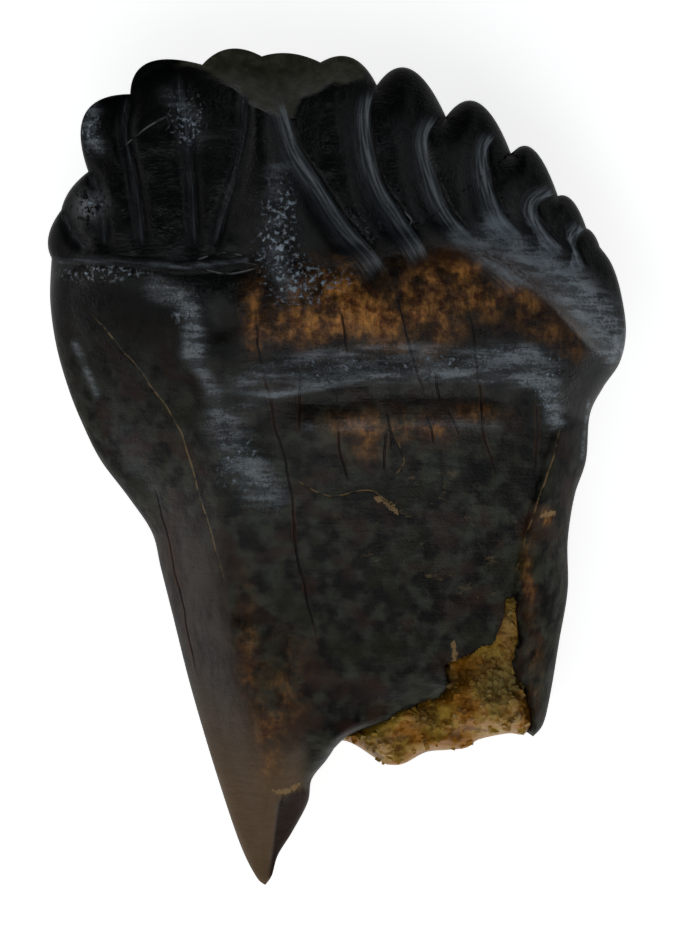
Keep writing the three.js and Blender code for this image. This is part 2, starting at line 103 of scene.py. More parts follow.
# Lines across the seen face
LEDGE = [
    (-3.97, 2.81), (-2.77, 2.73), (-1.97, 2.65), (-1.01, 2.76), (-0.51, 2.76), (0.16, 2.81), (0.83, 3.03),
    (1.49, 3.08), (2.16, 2.84), (2.83, 2.39), (3.36, 1.79), (3.83, 1.45),
]
LEFT_CORNER = [
    (-4.0, 2.78), (-2.9, 2.72), (-2.2, 2.6), (-1.84, 2.25), (-1.55, 1.45), (-1.47, 0.65), (-1.43, -0.41),
    (-1.41, -1.81), (-1.24, -2.55), (-1.01, -3.35), (-0.84, -4.28), (-0.91, -5.08), (-0.97, -5.7),
]
RIGHT_CORNER = [
    (3.5, 0.95), (3.0, 0.75), (2.75, 0.25), (2.6, -0.3), (2.45, -0.8), (2.36, -1.35), (2.27, -1.75),
    (2.2, -2.4), (2.3, -3.9),
]
MEDIAN_RIDGE = [(-1.11, 4.92), (-0.91, 3.59), (-0.51, 2.39)]
ROOT_FURROW = [(-1.15, -1.6), (-0.95, -2.7), (-0.7, -3.8)]
GROWTH_FURROWS = [
    [(-0.85, 0.86), (-0.1, 0.92), (0.8, 0.98), (1.7, 0.94), (2.5, 0.9)],
    [(-0.2, 1.3), (0.4, 1.42), (1.0, 1.52)],
]
GROWTH_RIDGES = [
    [(-1.3, 1.25), (-0.2, 1.22), (0.9, 1.35), (2.0, 1.35), (2.85, 1.2)],
    [(-0.5, 0.52), (0.8, 0.58), (2.1, 0.58)],
]
# Pits: place, radius, depth
PITS = [(-1.57, 1.88, 0.26, 0.12), (-1.2, 0.56, 0.22, 0.1), (-1.27, -2.0, 0.09, 0.08)]
LEFT_FURROWS = [
    [(-3.68, 3.45), (-3.51, 3.12), (-3.31, 2.9)],
    [(-3.32, 3.99), (-3.17, 3.59), (-3.07, 2.92)],
    [(-2.76, 5.05), (-2.83, 4.52), (-2.73, 3.99), (-2.64, 3.45), (-2.56, 2.85)],
    [(-2.11, 5.35), (-2.05, 4.79), (-1.97, 4.12), (-1.92, 3.52), (-1.87, 2.85)],
    [(-1.21, 5.12), (-1.23, 4.79), (-1.25, 4.39), (-1.36, 3.85), (-1.51, 3.39), (-1.65, 2.85)],
]
RIGHT_FURROWS = [
    [(-0.77, 5.03), (-0.67, 4.76), (-0.51, 4.25), (-0.21, 3.79), (0.09, 3.32), (0.45, 2.92), (0.7, 2.55)],
    [(0.53, 5.12), (0.43, 4.72), (0.48, 4.19), (0.63, 3.72), (0.85, 3.39), (1.1, 3.0), (1.25, 2.7)],
    [(1.43, 4.76), (1.2, 4.39), (1.31, 3.85), (1.49, 3.43), (1.81, 3.05), (2.23, 2.76), (2.6, 2.4)],
    [(2.16, 4.45), (2.0, 4.25), (2.03, 3.85), (2.19, 3.39), (2.49, 3.05)],
    [(2.93, 3.66), (2.65, 3.5), (2.73, 3.21), (3.03, 2.89)],
    [(3.31, 3.21), (3.16, 3.0), (3.3, 2.65)],
]
DARK_CRACKS = [
    [(-1.11, 2.25), (-1.01, 1.45), (-0.84, 0.65), (-0.64, -0.15), (-0.51, -1.21), (-0.24, -2.41)],
    [(0.03, 2.12), (0.16, 1.45)],
    [(0.76, 2.39), (0.96, 1.59), (1.16, 0.99)],
    [(1.76, 2.12), (1.89, 0.92), (1.96, 0.39), (2.09, -0.01)],
    [(-0.51, 1.32), (-0.5, 0.52)],
    [(0.63, 0.52), (0.62, -0.02)],
    [(2.63, 0.92), (2.63, -0.01)],
    [(-2.44, -0.15), (-2.15, -1.4), (-1.84, -2.81)],
    [(-0.01, 0.55), (0.05, 0.2), (0.14, -0.16)],
    [(0.63, 0.78), (0.74, 0.33)],
    [(1.17, 0.75), (1.27, 0.33)],
    [(1.49, 0.8), (1.6, 0.45)],
    [(1.28, 1.3), (1.34, 0.93)],
]
PALE_CRACKS = [
    [(2.95, 0.6), (2.85, 0.2), (2.7, -0.3), (2.54, -0.75), (2.42, -1.2), (2.3, -1.62)],
    [(-1.9, 2.76), (-1.5, 2.86), (-1.05, 2.78)],
    [(-1.9, 2.68), (-1.45, 2.58), (-1.05, 2.66)],
    [(0.68, 3.55), (0.67, 3.36)],
    [(0.88, 3.42), (0.98, 3.3), (0.95, 3.22)],
    [(-3.31, 2.12), (-2.64, 1.32), (-2.11, 0.52), (-1.84, -0.28), (-1.64, -0.95), (-1.41, -1.75)],
    [(-0.61, -0.11), (-0.11, -0.35), (0.43, -0.28), (0.8, -0.57)],
    [(0.76, 0.39), (0.87, 0.09), (0.69, -0.15)],
    [(-2.91, 4.23), (-2.55, 4.52), (-2.27, 4.68)],
]

# Pale flakes: a splinter at the notch, the skin over the chip, a spot on the flange and one at a vein's end
FLAKES = [
    [(1.53, -2.25), (1.52, -2.6), (1.49, -2.85)],
    [(-0.88, -4.26), (-0.7, -4.3), (-0.5, -4.18)],
    [(2.66, -0.64), (2.78, -0.6), (2.9, -0.56)],
    [(0.5, -0.36), (0.66, -0.46), (0.8, -0.6)],
]

# Worn bevel across the tip: its lower edge, and the places above it
FACET_EDGE = [
    (-2.15, 5.36), (-1.78, 5.3), (-1.42, 5.12), (-1.15, 4.9), (-0.87, 4.72), (-0.62, 4.7), (-0.48, 4.93),
    (-0.25, 5.0), (-0.05, 5.15), (0.12, 5.12), (0.35, 5.18), (0.42, 5.34),
]
FACET_TOP = [(0.3, 5.7), (-1.0, 5.8), (-1.9, 5.6)]

# Broken facet beside the point of the splinter
CHIP_EDGE = [(-0.93, -5.45), (-0.86, -4.95), (-0.8, -4.42), (-0.62, -4.3), (-0.42, -4.28)]
CHIP_FAR = [(-0.1, -4.6), (-0.5, -5.6)]

# Painted sheen: pale blue grey colour that stands in for highlights on the seen face: line, width in mm,
# strength
PAINTED_SHEEN_LINES = [
    ([(-3.24, 4.77), (-3.31, 4.52), (-3.2, 4.28)], 0.12, 0.7),
    ([(-2.24, 4.97), (-1.96, 4.7), (-1.85, 4.4)], 0.14, 0.35),
    ([(-0.78, 3.95), (-0.82, 3.45), (-0.88, 2.96), (-0.64, 2.39)], 0.17, 0.5),
    ([(2.1, 3.1), (2.55, 2.82), (3.05, 2.45), (3.5, 2.0), (3.65, 1.6)], 0.26, 1.0),
    ([(1.6, 3.1), (2.2, 2.7), (2.9, 2.25)], 0.12, 0.7),
    ([(-2.4, 2.38), (-2.05, 2.25), (-1.93, 1.95), (-1.9, 1.5)], 0.15, 1.0),
    ([(2.15, 2.95), (2.7, 2.6), (3.2, 2.15)], 0.16, 0.5),
    ([(-1.95, 1.6), (-1.63, 0.97), (-1.45, 0.5)], 0.12, 0.5),
    ([(-1.45, 0.55), (-1.25, 0.1), (-0.95, -0.3)], 0.3, 0.9),
    ([(-1.0, -1.2), (-0.6, -2.2), (-0.3, -2.9)], 0.25, 0.12),
    ([(-1.2, 1.2), (0.1, 1.35), (1.6, 1.45), (2.8, 1.35)], 0.26, 0.55),
    ([(-1.05, 1.3), (0.03, 1.58), (1.03, 1.62), (1.85, 1.56), (2.6, 1.5)], 0.09, 0.3),
    ([(-1.23, 0.85), (-0.23, 1.12), (0.7, 1.22), (1.85, 1.22), (2.85, 1.1)], 0.08, 0.5),
    ([(2.5, 1.5), (2.78, 1.1), (2.88, 0.65)], 0.14, 0.9),
    ([(-0.4, 0.56), (0.8, 0.6), (2.1, 0.6)], 0.1, 0.4),
    ([(-2.85, 0.48), (-2.44, -0.35)], 0.22, 0.35),
    ([(-3.5, 1.7), (-3.2, 1.0)], 0.06, 0.5),
    ([(3.33, 0.9), (3.24, 0.15)], 0.035, 0.6),
    ([(-3.7, 2.77), (-2.8, 2.74), (-1.95, 2.68), (-1.2, 2.76)], 0.035, 0.9),
]

# Painted glints: small bright specks that stand in for highlights: place, half width, half height, strength
SPARKS = [
    (-2.0, 4.65, 0.2, 0.33, 1.1), (-3.27, 4.5, 0.13, 0.28, 0.8), (-3.1, 2.6, 0.6, 0.12, 0.6),
    (-0.75, 3.5, 0.2, 0.45, 0.8), (-0.8, 2.85, 0.28, 0.4, 1.1), (-0.5, 2.4, 0.3, 0.28, 1.0),
    (-0.1, 2.5, 0.4, 0.15, 0.5), (-2.6, 3.6, 0.5, 0.7, 0.15), (-3.25, 3.5, 0.16, 0.14, 1.0),
    (-2.0, 2.1, 0.2, 0.3, 0.6), (1.4, 1.42, 1.3, 0.14, 0.55), (-1.3, 0.1, 0.3, 0.45, 0.6),
    (2.78, 1.05, 0.16, 0.35, 1.2), (0.3, 3.2, 0.5, 0.4, 0.25), (-0.3, 1.3, 0.6, 0.2, 0.4),
]

# Rust coloured patches: place, half width, half height, strength
STAINS = [
    (-1.09, 2.05, 0.13, 0.42, 0.9), (-0.64, 1.99, 0.33, 0.3, 0.6), (-0.04, 2.32, 0.4, 0.34, 1.0),
    (-0.04, 1.92, 0.45, 0.22, 0.6), (0.56, 1.99, 0.33, 0.32, 0.8), (1.16, 1.92, 0.33, 0.34, 0.8),
    (1.52, 2.6, 0.46, 0.22, 0.75), (1.89, 2.25, 0.4, 0.33, 0.5), (2.43, 2.25, 0.33, 0.27, 0.4),
    (2.76, 1.92, 0.27, 0.27, 0.35), (3.1, 1.65, 0.16, 0.19, 0.3), (1.0, 2.35, 0.3, 0.25, 0.35),
    (0.16, 0.59, 0.33, 0.13, 0.4), (0.63, 0.59, 0.33, 0.16, 0.6), (1.23, 0.59, 0.33, 0.13, 0.6),
    (1.83, 0.72, 0.33, 0.11, 0.45), (0.4, 0.3, 0.2, 0.2, 0.3), (2.75, -0.62, 0.09, 0.09, 0.8),
    (-1.2, -2.3, 0.12, 0.6, 0.4), (-0.9, -3.6, 0.16, 0.5, 0.35), (-0.7, -3.0, 0.3, 0.7, 0.2),
    (2.52, -1.35, 0.08, 0.5, 0.45), (2.62, -2.6, 0.1, 0.5, 0.2),
]
CREST = [(1.3, 2.8), (1.8, 2.86), (2.2, 2.73), (2.6, 2.45), (2.9, 2.1), (3.15, 1.7)]

# Edge of the front wall where it broke away over the fill, clockwise, and the fill's loose end
FRACTURE_EDGE = [
    (-0.06, -3.75), (0.32, -3.56), (0.85, -3.22), (1.36, -3.04), (1.45, -2.85), (1.42, -2.6), (1.76, -2.48),
    (2.08, -2.28), (2.17, -2.04), (2.24, -1.73), (2.36, -1.72), (2.41, -2.28), (2.3, -2.57), (2.47, -2.92),
    (2.57, -3.19), (2.61, -3.45),
]
POCKET_END = [(2.6, -4.3), (0.0, -4.3)]
FILL_EDGE = [
    (-0.1, -3.62), (0.32, -3.42), (0.85, -3.1), (1.36, -2.95), (1.4, -2.7), (1.42, -2.5), (1.76, -2.4),
    (2.06, -2.2), (2.13, -1.95), (2.2, -1.66), (2.4, -1.66), (2.45, -2.28), (2.4, -2.57), (2.55, -2.92),
    (2.6, -3.19), (2.6, -3.4),
]
FILL_END = [
    (2.5, -3.56), (2.28, -3.55), (1.9, -3.63), (1.73, -3.74), (1.47, -3.77), (1.19, -3.8), (0.9, -3.95),
    (0.73, -3.97), (0.59, -3.93), (0.2, -3.68),
]
# Pale parts of the fill: place, half width, half height, strength
FILL_PALE = [
    (2.15, -2.9, 0.3, 0.4, 0.8), (0.7, -3.75, 0.35, 0.16, 0.3), (1.45, -2.8, 0.12, 0.12, 0.7),
    (2.27, -2.1, 0.12, 0.3, 0.6), (1.15, -3.35, 0.2, 0.1, 0.5),
]
FILL_MIDDLE = (2.03, -2.95)
# Height of the fill, its lumps, its fall at the loose end, and its climb into the narrow upper tongue
FILL_TOP = 2.92
FILL_LUMPS, TONGUE_LUMPS = 0.28, 0.1
FILL_FALL, TONGUE_RISE = 0.35, 0.38

# Sizes of the relief in mm
RIM_Z, RIM_RISE = 2.5, 0.09  # rim_z at the middle, and its change along the tooth
THIN_EDGE = 0.14  # width of the rounding at the broken end
FRONT_EDGE, BACK_EDGE = (0.6, 0.45), (1.5, 0.9)  # the same elsewhere: root, crown
ROOT_BEND, CROWN_BEND, BACK_BEND = (0.05, 0.2), (0.055, -0.2), (0.085, 0.3)  # per square mm, and from which X
LEFT_FURROW, BACK_RIB = (0.09, 0.16), (0.16, -0.12)  # width and depth, below 0 where it stands out
GROWTH_FURROW, GROWTH_RIDGE, ROOT_DIP = (0.13, 0.1), (0.16, -0.06), (0.28, 0.07)
STEEP_WALL, STEEP_FLOOR, STEEP_DEPTH = (-0.06, 0.07), (0.12, 0.5), (0.1, 0.3)
STEEP_LENGTH = 1.8  # steep furrows shorter than this are shallower
RIDGE_RISE, RIDGE_WIDTH = (0.16, 0.3), 0.42
BACK_RIDGE_RISE, BACK_RIDGE_WIDTH = 0.15, 0.5
FACET_FALL = 0.55  # per mm from the bevel's lower edge
CHIP_DEPTH, CHIP_FALL = 0.12, 0.5
POCKET_FLOOR = 1.25
SHORT_LINE, LONG_LINE = 30, 80  # steps along a curve
CRACK_REACH = 0.16
LATTICE = 97  # knots a side of the noise, before it repeats


def curve(points, count):
    """Points evenly along a smooth curve through the given places, as three.js's SplineCurve runs."""
    p = np.array([points[0], *points, points[-1]], float)
    t = np.linspace(0, 1, 24, endpoint=False)[:, None]
    pieces = []
    for a, b, c, d in zip(p, p[1:], p[2:], p[3:]):
        v0, v1 = (c - a) / 2, (d - b) / 2
        pieces.append((2 * b - 2 * c + v0 + v1) * t**3 + (3 * c - 3 * b - 2 * v0 - v1) * t**2 + v0 * t + b)
    path = np.concatenate(pieces + [p[-1:]])
    return evenly(path, count)


def evenly(path, count):
    """The path, cut into this many equal steps."""
    run = np.concatenate([[0], np.cumsum(np.linalg.norm(np.diff(path, axis=0), axis=1))])
    at = np.linspace(0, run[-1], count + 1)
    return np.stack([np.interp(at, run, path[:, k]) for k in (0, 1)], axis=1)


def tooth_rim(fineness):
    """The outline, clockwise from the left end of the ledge: an arc over each denticle, then the sides."""
    parts = []
    t = np.linspace(0, 1, 60)[:, None]
    for i, (tip, steps) in enumerate(zip(CROWN_TIPS, CROWN_STEPS)):
        a, b = np.array(CROWN_NOTCHES[i]), np.array(CROWN_NOTCHES[i + 1])
        pull = 2 * np.array(tip) - (a + b) / 2
        arc = (1 - t) ** 2 * a + 2 * t * (1 - t) * pull + t**2 * b
        parts.append(evenly(arc, steps * fineness)[:-1])
    for side, steps in zip((RIGHT_SIDE, BROKEN_END, LEFT_SIDE), SIDE_STEPS):
        parts.append(curve(side, steps * fineness)[:-1])
    rim = np.concatenate(parts)
    return np.concatenate([rim, rim[:1]])


def nearest(line, x, y):
    """Distance to a line of points, the share of the line passed, and 1 left or -1 right of it."""
    distance = np.full(x.shape, np.inf)
    along = np.zeros(x.shape)
    side = np.ones(x.shape)
    last = len(line) - 1
    for i in range(last):
        (ax, ay), (bx, by) = line[i], line[i + 1]
        dx, dy = bx - ax, by - ay
        px, py = x - ax, y - ay
        t = np.clip((px * dx + py * dy) / (dx * dx + dy * dy + 1e-18), 0, 1)
        away = np.hypot(px - t * dx, py - t * dy)
        closer = away < distance
        distance = np.where(closer, away, distance)
        along = np.where(closer, (i + t) / last, along)
        side = np.where(closer, np.where(dx * py - dy * px < 0, -1.0, 1.0), side)
    return distance, along, side


def ramp(value, low, high):
    """0 below low, 1 above high, and smooth between them."""
    t = np.clip((value - low) / (high - low), 0, 1)
    return t * t * (3 - 2 * t)


def bell(s):
    return np.exp(-s * s)


def lerp(a, b, t):
    return a + (b - a) * t


def quarter_round(s):
    return np.sqrt(1 - (1 - np.clip(s, 0, 1)) ** 2)


def profile_height(profile, y):
    """Height at a place along the tooth, on a smooth curve through the profile's stations."""
    at, height = np.array(profile).T
    slope = np.empty_like(at)
    slope[1:-1] = (height[2:] - height[:-2]) / (at[2:] - at[:-2])
    slope[0] = (height[1] - height[0]) / (at[1] - at[0])
    slope[-1] = (height[-1] - height[-2]) / (at[-1] - at[-2])
    i = np.clip(np.searchsorted(at, y) - 1, 0, len(at) - 2)
    span = at[i + 1] - at[i]
    t = np.clip((y - at[i]) / span, 0, 1)
    return (
        (2 * t**3 - 3 * t**2 + 1) * height[i]
        + (t**3 - 2 * t**2 + t) * span * slope[i]
        + (3 * t**2 - 2 * t**3) * height[i + 1]
        + (t**3 - t**2) * span * slope[i + 1]
    )


def noise(x, y, scale, seed):
    """Smooth noise between -1 and 1 whose lumps are 1 / scale mm wide."""
    lattice = np.random.default_rng(seed).uniform(-1, 1, (LATTICE, LATTICE))
    u, v = x * scale + 31.7, y * scale + 17.3
    i, j = np.floor(u).astype(int), np.floor(v).astype(int)
    fu, fv = u - i, v - j
    fu, fv = fu * fu * (3 - 2 * fu), fv * fv * (3 - 2 * fv)
    corner = [lattice[(i + across) % LATTICE, (j + up) % LATTICE] for up in (0, 1) for across in (0, 1)]
    return lerp(lerp(corner[0], corner[1], fu), lerp(corner[2], corner[3], fu), fv)


def layered_noise(x, y, scale, seed, layers=3):
    return sum(noise(x, y, scale * 2**n, seed + n) / 2**n for n in range(layers))


def rim_z(y):
    """Height of the edge between the seen and the hidden face."""
    return RIM_Z + RIM_RISE * y


def low_right(x, y):
    """1 along the broken end right of the long splinter."""
    return ramp(-y, 3.0, 3.4) * ramp(x, -0.5, -0.1)


def fading_ends(along):
    """1 along most of a line, 0 at both its ends."""
    return ramp(along, 0.0, 0.12) * (1 - ramp(along, 0.85, 1.0))


def bent(x, size, middle):
    return size * (x - middle) ** 2


def furrow(line, x, y, width, depth):
    distance, along, _ = nearest(curve(line, SHORT_LINE), x, y)
    ends = fading_ends(along)
    return -depth * bell(distance / width) * (1 - 0.4 * along) * lerp(0.35, 1, ends)


def steep_furrow(line, x, y):
    """A furrow with a steep wall on its left and a floor that climbs slowly on its right."""
    distance, along, side = nearest(curve(line, 40), x, y)
    right = -side * distance
    across = ramp(right, *STEEP_WALL) * (1 - ramp(right, *STEEP_FLOOR))
    length = np.linalg.norm(np.diff(np.array(line), axis=0), axis=1).sum()
    depth = lerp(*STEEP_DEPTH, ramp(along, 0.1, 0.9)) * min(1, length / STEEP_LENGTH)
    ends = ramp(along, 0.02, 0.2) * (1 - ramp(along, 0.8, 1.0))
    return -depth * across * ends


def belt_share(x, y):
    """1 on the swollen belt and the root, 0 on the crown."""
    distance, _, side = nearest(curve(LEDGE, LONG_LINE), x, y)
    softness = lerp(0.06, 0.2, ramp(x, -1.0, 0.5))
    return 1 - ramp(side * distance, -softness, softness)


def crown_relief(x, y):
    ridge_distance, along, _ = nearest(curve(MEDIAN_RIDGE, SHORT_LINE), x, y)
    ridge = lerp(*RIDGE_RISE, ramp(along, 0.0, 0.5)) * bell(ridge_distance / RIDGE_WIDTH)
    left = sum(furrow(line, x, y, *LEFT_FURROW) for line in LEFT_FURROWS)
    right = sum(steep_furrow(line, x, y) for line in RIGHT_FURROWS)
    wrinkles = 0.006 * noise(x * 5.0, y, 1.6, seed=71) + 0.003 * noise(x * 11.0, y, 2.2, seed=72)
    return ridge + left + right + wrinkles


def root_relief(x, y):
    ripples = sum(furrow(line, x, y, *GROWTH_FURROW) for line in GROWTH_FURROWS)
    ripples = ripples + sum(furrow(line, x, y, *GROWTH_RIDGE) for line in GROWTH_RIDGES)
    dip = furrow(ROOT_FURROW, x, y, *ROOT_DIP)
    dents = sum(-depth * bell(np.hypot(x - px, y - py) / wide) for px, py, wide, depth in PITS)
    return ripples + dip + dents


def unevenness(x, y):
    return 0.035 * layered_noise(x, y, 0.9, seed=3) + 0.008 * layered_noise(x, y, 5.0, seed=11)


def signed_depth(edge, far_side, x, y):
    """How far inside the closed line a place is, below 0 outside it, and its distance to the edge."""
    loop = np.array(edge + far_side + edge[:1])
    distance = nearest(loop, x, y)[0]
    return np.where(inside_loop(loop, x, y), distance, -distance), nearest(np.array(edge), x, y)[0]


def wear_facet(x, y):
    """How deep in the worn bevel a place is, and how far the bevel goes down there."""
    wobble = 0.03 * layered_noise(x, y, 4.0, seed=33)
    depth, past_edge = signed_depth(FACET_EDGE, FACET_TOP, x, y)
    return depth + wobble, FACET_FALL * past_edge


def tip_chip(x, y):
    depth, past_edge = signed_depth(CHIP_EDGE, CHIP_FAR, x, y)
    return ramp(depth, -0.01, 0.03) * (CHIP_DEPTH + CHIP_FALL * past_edge)


def turned_down(line, lateral, x, y, rim_distance, power, softness):
    """Share of the full height left beside a corner line, where the face turns down to the rim."""
    distance, _, side = nearest(curve(line, LONG_LINE), x, y)
    distance = np.hypot(distance, softness) - softness
    share = rim_distance / (rim_distance + distance + 1e-9)
    return np.where(side == lateral, share**power, 1.0)


def front_z(x, y, rim_distance):
    middle = rim_z(y)
    edge = lerp(*FRONT_EDGE, ramp(y, 1.5, 3.0))
    width = lerp(edge, THIN_EDGE, low_right(x, y))
    belt = belt_share(x, y)
    facet_depth, facet_drop = wear_facet(x, y)
    unworn = 1 - ramp(facet_depth, -0.05, 0.03)
    low = profile_height(ROOT_PROFILE, y) - bent(x, *ROOT_BEND) + root_relief(x, y)
    high = profile_height(CROWN_PROFILE, y) - bent(x, *CROWN_BEND) + crown_relief(x, y) * unworn
    face = lerp(high, low, belt) + unevenness(x, y) * lerp(0.4, 1, unworn)
    face = face - facet_drop * (1 - unworn) - tip_chip(x, y)
    share = quarter_round(rim_distance / width)
    share = np.minimum(share, turned_down(LEFT_CORNER, -1, x, y, rim_distance, power=0.6, softness=0.2))
    share = np.minimum(share, turned_down(RIGHT_CORNER, 1, x, y, rim_distance, power=0.5, softness=0.1))
    z = middle + np.maximum(face - middle, 0.05) * share
    return pocket(x, y, z)


def pocket(x, y, z):
    """The height with the broken hollow cut away."""
    loop = np.array(FRACTURE_EDGE + POCKET_END + FRACTURE_EDGE[:1])
    jagged = 0.03 * layered_noise(x, y, 6.0, seed=21)
    distance = nearest(loop, x, y)[0]
    depth = np.where(inside_loop(loop, x, y), distance, -distance) + jagged
    return lerp(z, POCKET_FLOOR, ramp(depth, -0.01, 0.05))


def inside_loop(loop, x, y):
    inside = np.zeros(x.shape, bool)
    for (ax, ay), (bx, by) in zip(loop[:-1], loop[1:]):
        crosses = (ay > y) != (by > y)
        with np.errstate(divide="ignore", invalid="ignore"):
            at = ax + (y - ay) / (by - ay) * (bx - ax)
        inside ^= crosses & (x < at)
    return inside


def back_z(x, y, rim_distance):
    middle = pocket(x, y, rim_z(y))
    edge = lerp(*BACK_EDGE, ramp(y, 2.4, 4.0))
    width = lerp(edge, THIN_EDGE, low_right(x, y))
    ribs = sum(furrow(line, x, y, *BACK_RIB) for line in LEFT_FURROWS + RIGHT_FURROWS)
    ridge_distance = nearest(curve(MEDIAN_RIDGE, SHORT_LINE), x, y)[0]
    ridge = -BACK_RIDGE_RISE * bell(ridge_distance / BACK_RIDGE_WIDTH)
    face = profile_height(BACK_PROFILE, y) + bent(x, *BACK_BEND) + ribs + ridge + unevenness(x + 3, y)
    return np.maximum(0, middle + (face - middle) * quarter_round(rim_distance / width))


def square_rings(rings):
    """For a square grid of (2 rings + 1) points a side: each point's ring, and its share of the way round."""
    i, j = np.meshgrid(np.arange(-rings, rings + 1), np.arange(-rings, rings + 1))
    i, j = i.ravel(), j.ravel()
    ring = np.maximum(abs(i), abs(j))
    step = np.select(
        [j == ring, i == ring, i == -ring],
        [3 * ring - i, j + ring, 5 * ring - j],
        6 * ring + i + ring,
    )
    share = np.where(ring > 0, 1 - step / np.maximum(8 * ring, 1), 0) % 1
    return ring, share


def pillow(name, rim, middle, rings, crowding, top, bottom):
    """Closed mesh between two height functions that meet along a rim, with its places in metres."""
    ring, share = square_rings(rings)
    at = np.linspace(0, 1, len(rim))
    out = np.stack([np.interp(share, at, rim[:, k]) for k in (0, 1)], axis=1)
    reach = ((ring / rings) ** crowding)[:, None]
    xy = np.array(middle) + reach * (out - middle)
    on_rim = ring == rings
    x, y = xy.T
    distance = np.where(on_rim, 0, nearest(rim, x, y)[0])
    side = 2 * rings + 1
    top_points = np.column_stack([x, y, top(x, y, distance)])
    bottom_points = np.column_stack([x, y, bottom(x, y, distance)])[~on_rim]
    under = np.arange(side * side)
    under[~on_rim] = side * side + np.arange((~on_rim).sum())
    cell_j, cell_i = np.divmod(np.arange((side - 1) ** 2), side - 1)
    first = cell_j * side + cell_i
    corners = np.stack([first, first + 1, first + side + 1, first + side], axis=1)
    turned = (cell_i + 0.5 - rings) * (cell_j + 0.5 - rings) <= 0
    corners[turned] = np.roll(corners[turned], -1, axis=1)
    faces = np.concatenate([corners[:, [0, 1, 2]], corners[:, [0, 2, 3]]])
    faces = np.concatenate([faces, under[faces][:, ::-1]])
    points = np.concatenate([top_points, bottom_points])
    return mesh_from(name, points, faces), points, np.concatenate([distance, distance[~on_rim]])


def mesh_from(name, points, faces):
    mesh = bpy.data.meshes.new(name)
    mesh.vertices.add(len(points))
    mesh.vertices.foreach_set("co", (points * MM).astype(np.float32).ravel())
    mesh.loops.add(faces.size)
    mesh.loops.foreach_set("vertex_index", faces.astype(np.int32).ravel())
    mesh.polygons.add(len(faces))
    mesh.polygons.foreach_set("loop_start", np.arange(0, faces.size, 3, dtype=np.int32))
    mesh.update(calc_edges=True)
    mesh.validate()
    mesh.shade_smooth()
    return mesh


def give(mesh, name, values):
    """Stores a value or a vector at each point of the mesh."""
    values = np.asarray(values, np.float32)
    kind, key = ("FLOAT", "value") if values.ndim == 1 else ("FLOAT_VECTOR", "vector")
    mesh.attributes.new(name, kind, "POINT").data.foreach_set(key, values.ravel())


def crack_field(lines, x, y):
    """For each point: how far left of the nearest crack it is, and how strong the crack is there."""
    offset = np.full(x.shape, CRACK_REACH)
    strength = np.zeros(x.shape)
    best = np.full(x.shape, np.inf)
    for number, line in enumerate(lines):
        path = curve(line, 60)
        wander = 0.018 * layered_noise(path[:, 0] + 9 * number, path[:, 1], 3.5, 40 + number)
        path = path + np.stack([wander, wander * 0.3], axis=1)
        distance, along, side = nearest(path, x, y)
        closer = distance < best
        best = np.where(closer, distance, best)
        offset = np.where(closer, side * distance, offset)
        here = fading_ends(along) * (1 - ramp(distance, 0.5 * CRACK_REACH, CRACK_REACH))
        strength = np.where(closer, here, strength)
    return np.stack([offset, strength, np.zeros_like(offset)], axis=1)


class Shade:
    """A socket of a node tree. Arithmetic on it adds Math nodes, and node() adds any other kind."""

    def __init__(self, tree, socket=None):
        self.tree = tree
        self.socket = socket

    def node(self, kind, settings=None, inputs=None, output=0):
        """A new node: its settings are set first, then its sockets get values or links."""
        made = self.tree.nodes.new(kind)
        for name, value in (settings or {}).items():
            setattr(made, name, value)
        for name, value in (inputs or {}).items():
            if isinstance(value, Shade):
                self.tree.links.new(value.socket, made.inputs[name])
            else:
                made.inputs[name].default_value = value
        return Shade(self.tree, made.outputs[output]) if made.outputs else Shade(self.tree)

    def math(self, operation, *others):
        values = dict(enumerate((self, *others)))
        return self.node("ShaderNodeMath", {"operation": operation}, values)

    def __add__(self, other):
        return self.math("ADD", other)

    def __sub__(self, other):
        return self.math("SUBTRACT", other)

    def __rsub__(self, other):
        return self.node("ShaderNodeMath", {"operation": "SUBTRACT"}, {0: other, 1: self})

    def __mul__(self, other):
        return self.math("MULTIPLY", other)

    __radd__ = __add__
    __rmul__ = __mul__

    def __abs__(self):
        return self.math("ABSOLUTE")

    def between(self, low, high, start=0.0, end=1.0):
        """start below low, end above high, and smooth between them."""
        inputs = {0: self, 1: low, 2: high, 3: start, 4: end}
        return self.node("ShaderNodeMapRange", {"interpolation_type": "SMOOTHSTEP"}, inputs)

    def mix(self, base, top):
        """The base colour, going over to the top one where this value is 1."""
        settings = {"data_type": "RGBA", "clamp_factor": True}
        return self.node("ShaderNodeMix", settings, {0: self, 6: base, 7: top}, output=2)

    def attribute(self, name, output=2):
        return self.node("ShaderNodeAttribute", {"attribute_name": name}, output=output)

    def parts(self):
        made = self.node("ShaderNodeSeparateXYZ", inputs={0: self})
        return [Shade(self.tree, output) for output in made.socket.node.outputs]

    def noise(self, scale, detail=3.0, rough=0.55, stretch=(1.0, 1.0, 1.0)):
        """Noise on places in millimetres, between 0 and 1."""
        where = self.node("ShaderNodeMapping", inputs={"Vector": self, "Scale": stretch})
        inputs = {"Vector": where, "Scale": scale, "Detail": detail, "Roughness": rough}
        return self.node("ShaderNodeTexNoise", inputs=inputs)


def new_material(name):
    material = bpy.data.materials.new(name)
    material.use_nodes = True
    material.node_tree.nodes.clear()
    start = Shade(material.node_tree)
    place = start.node("ShaderNodeTexCoord", output=3)
    scaling = {0: place, "Scale": 1 / MM}
    return material, start, start.node("ShaderNodeVectorMath", {"operation": "SCALE"}, scaling)


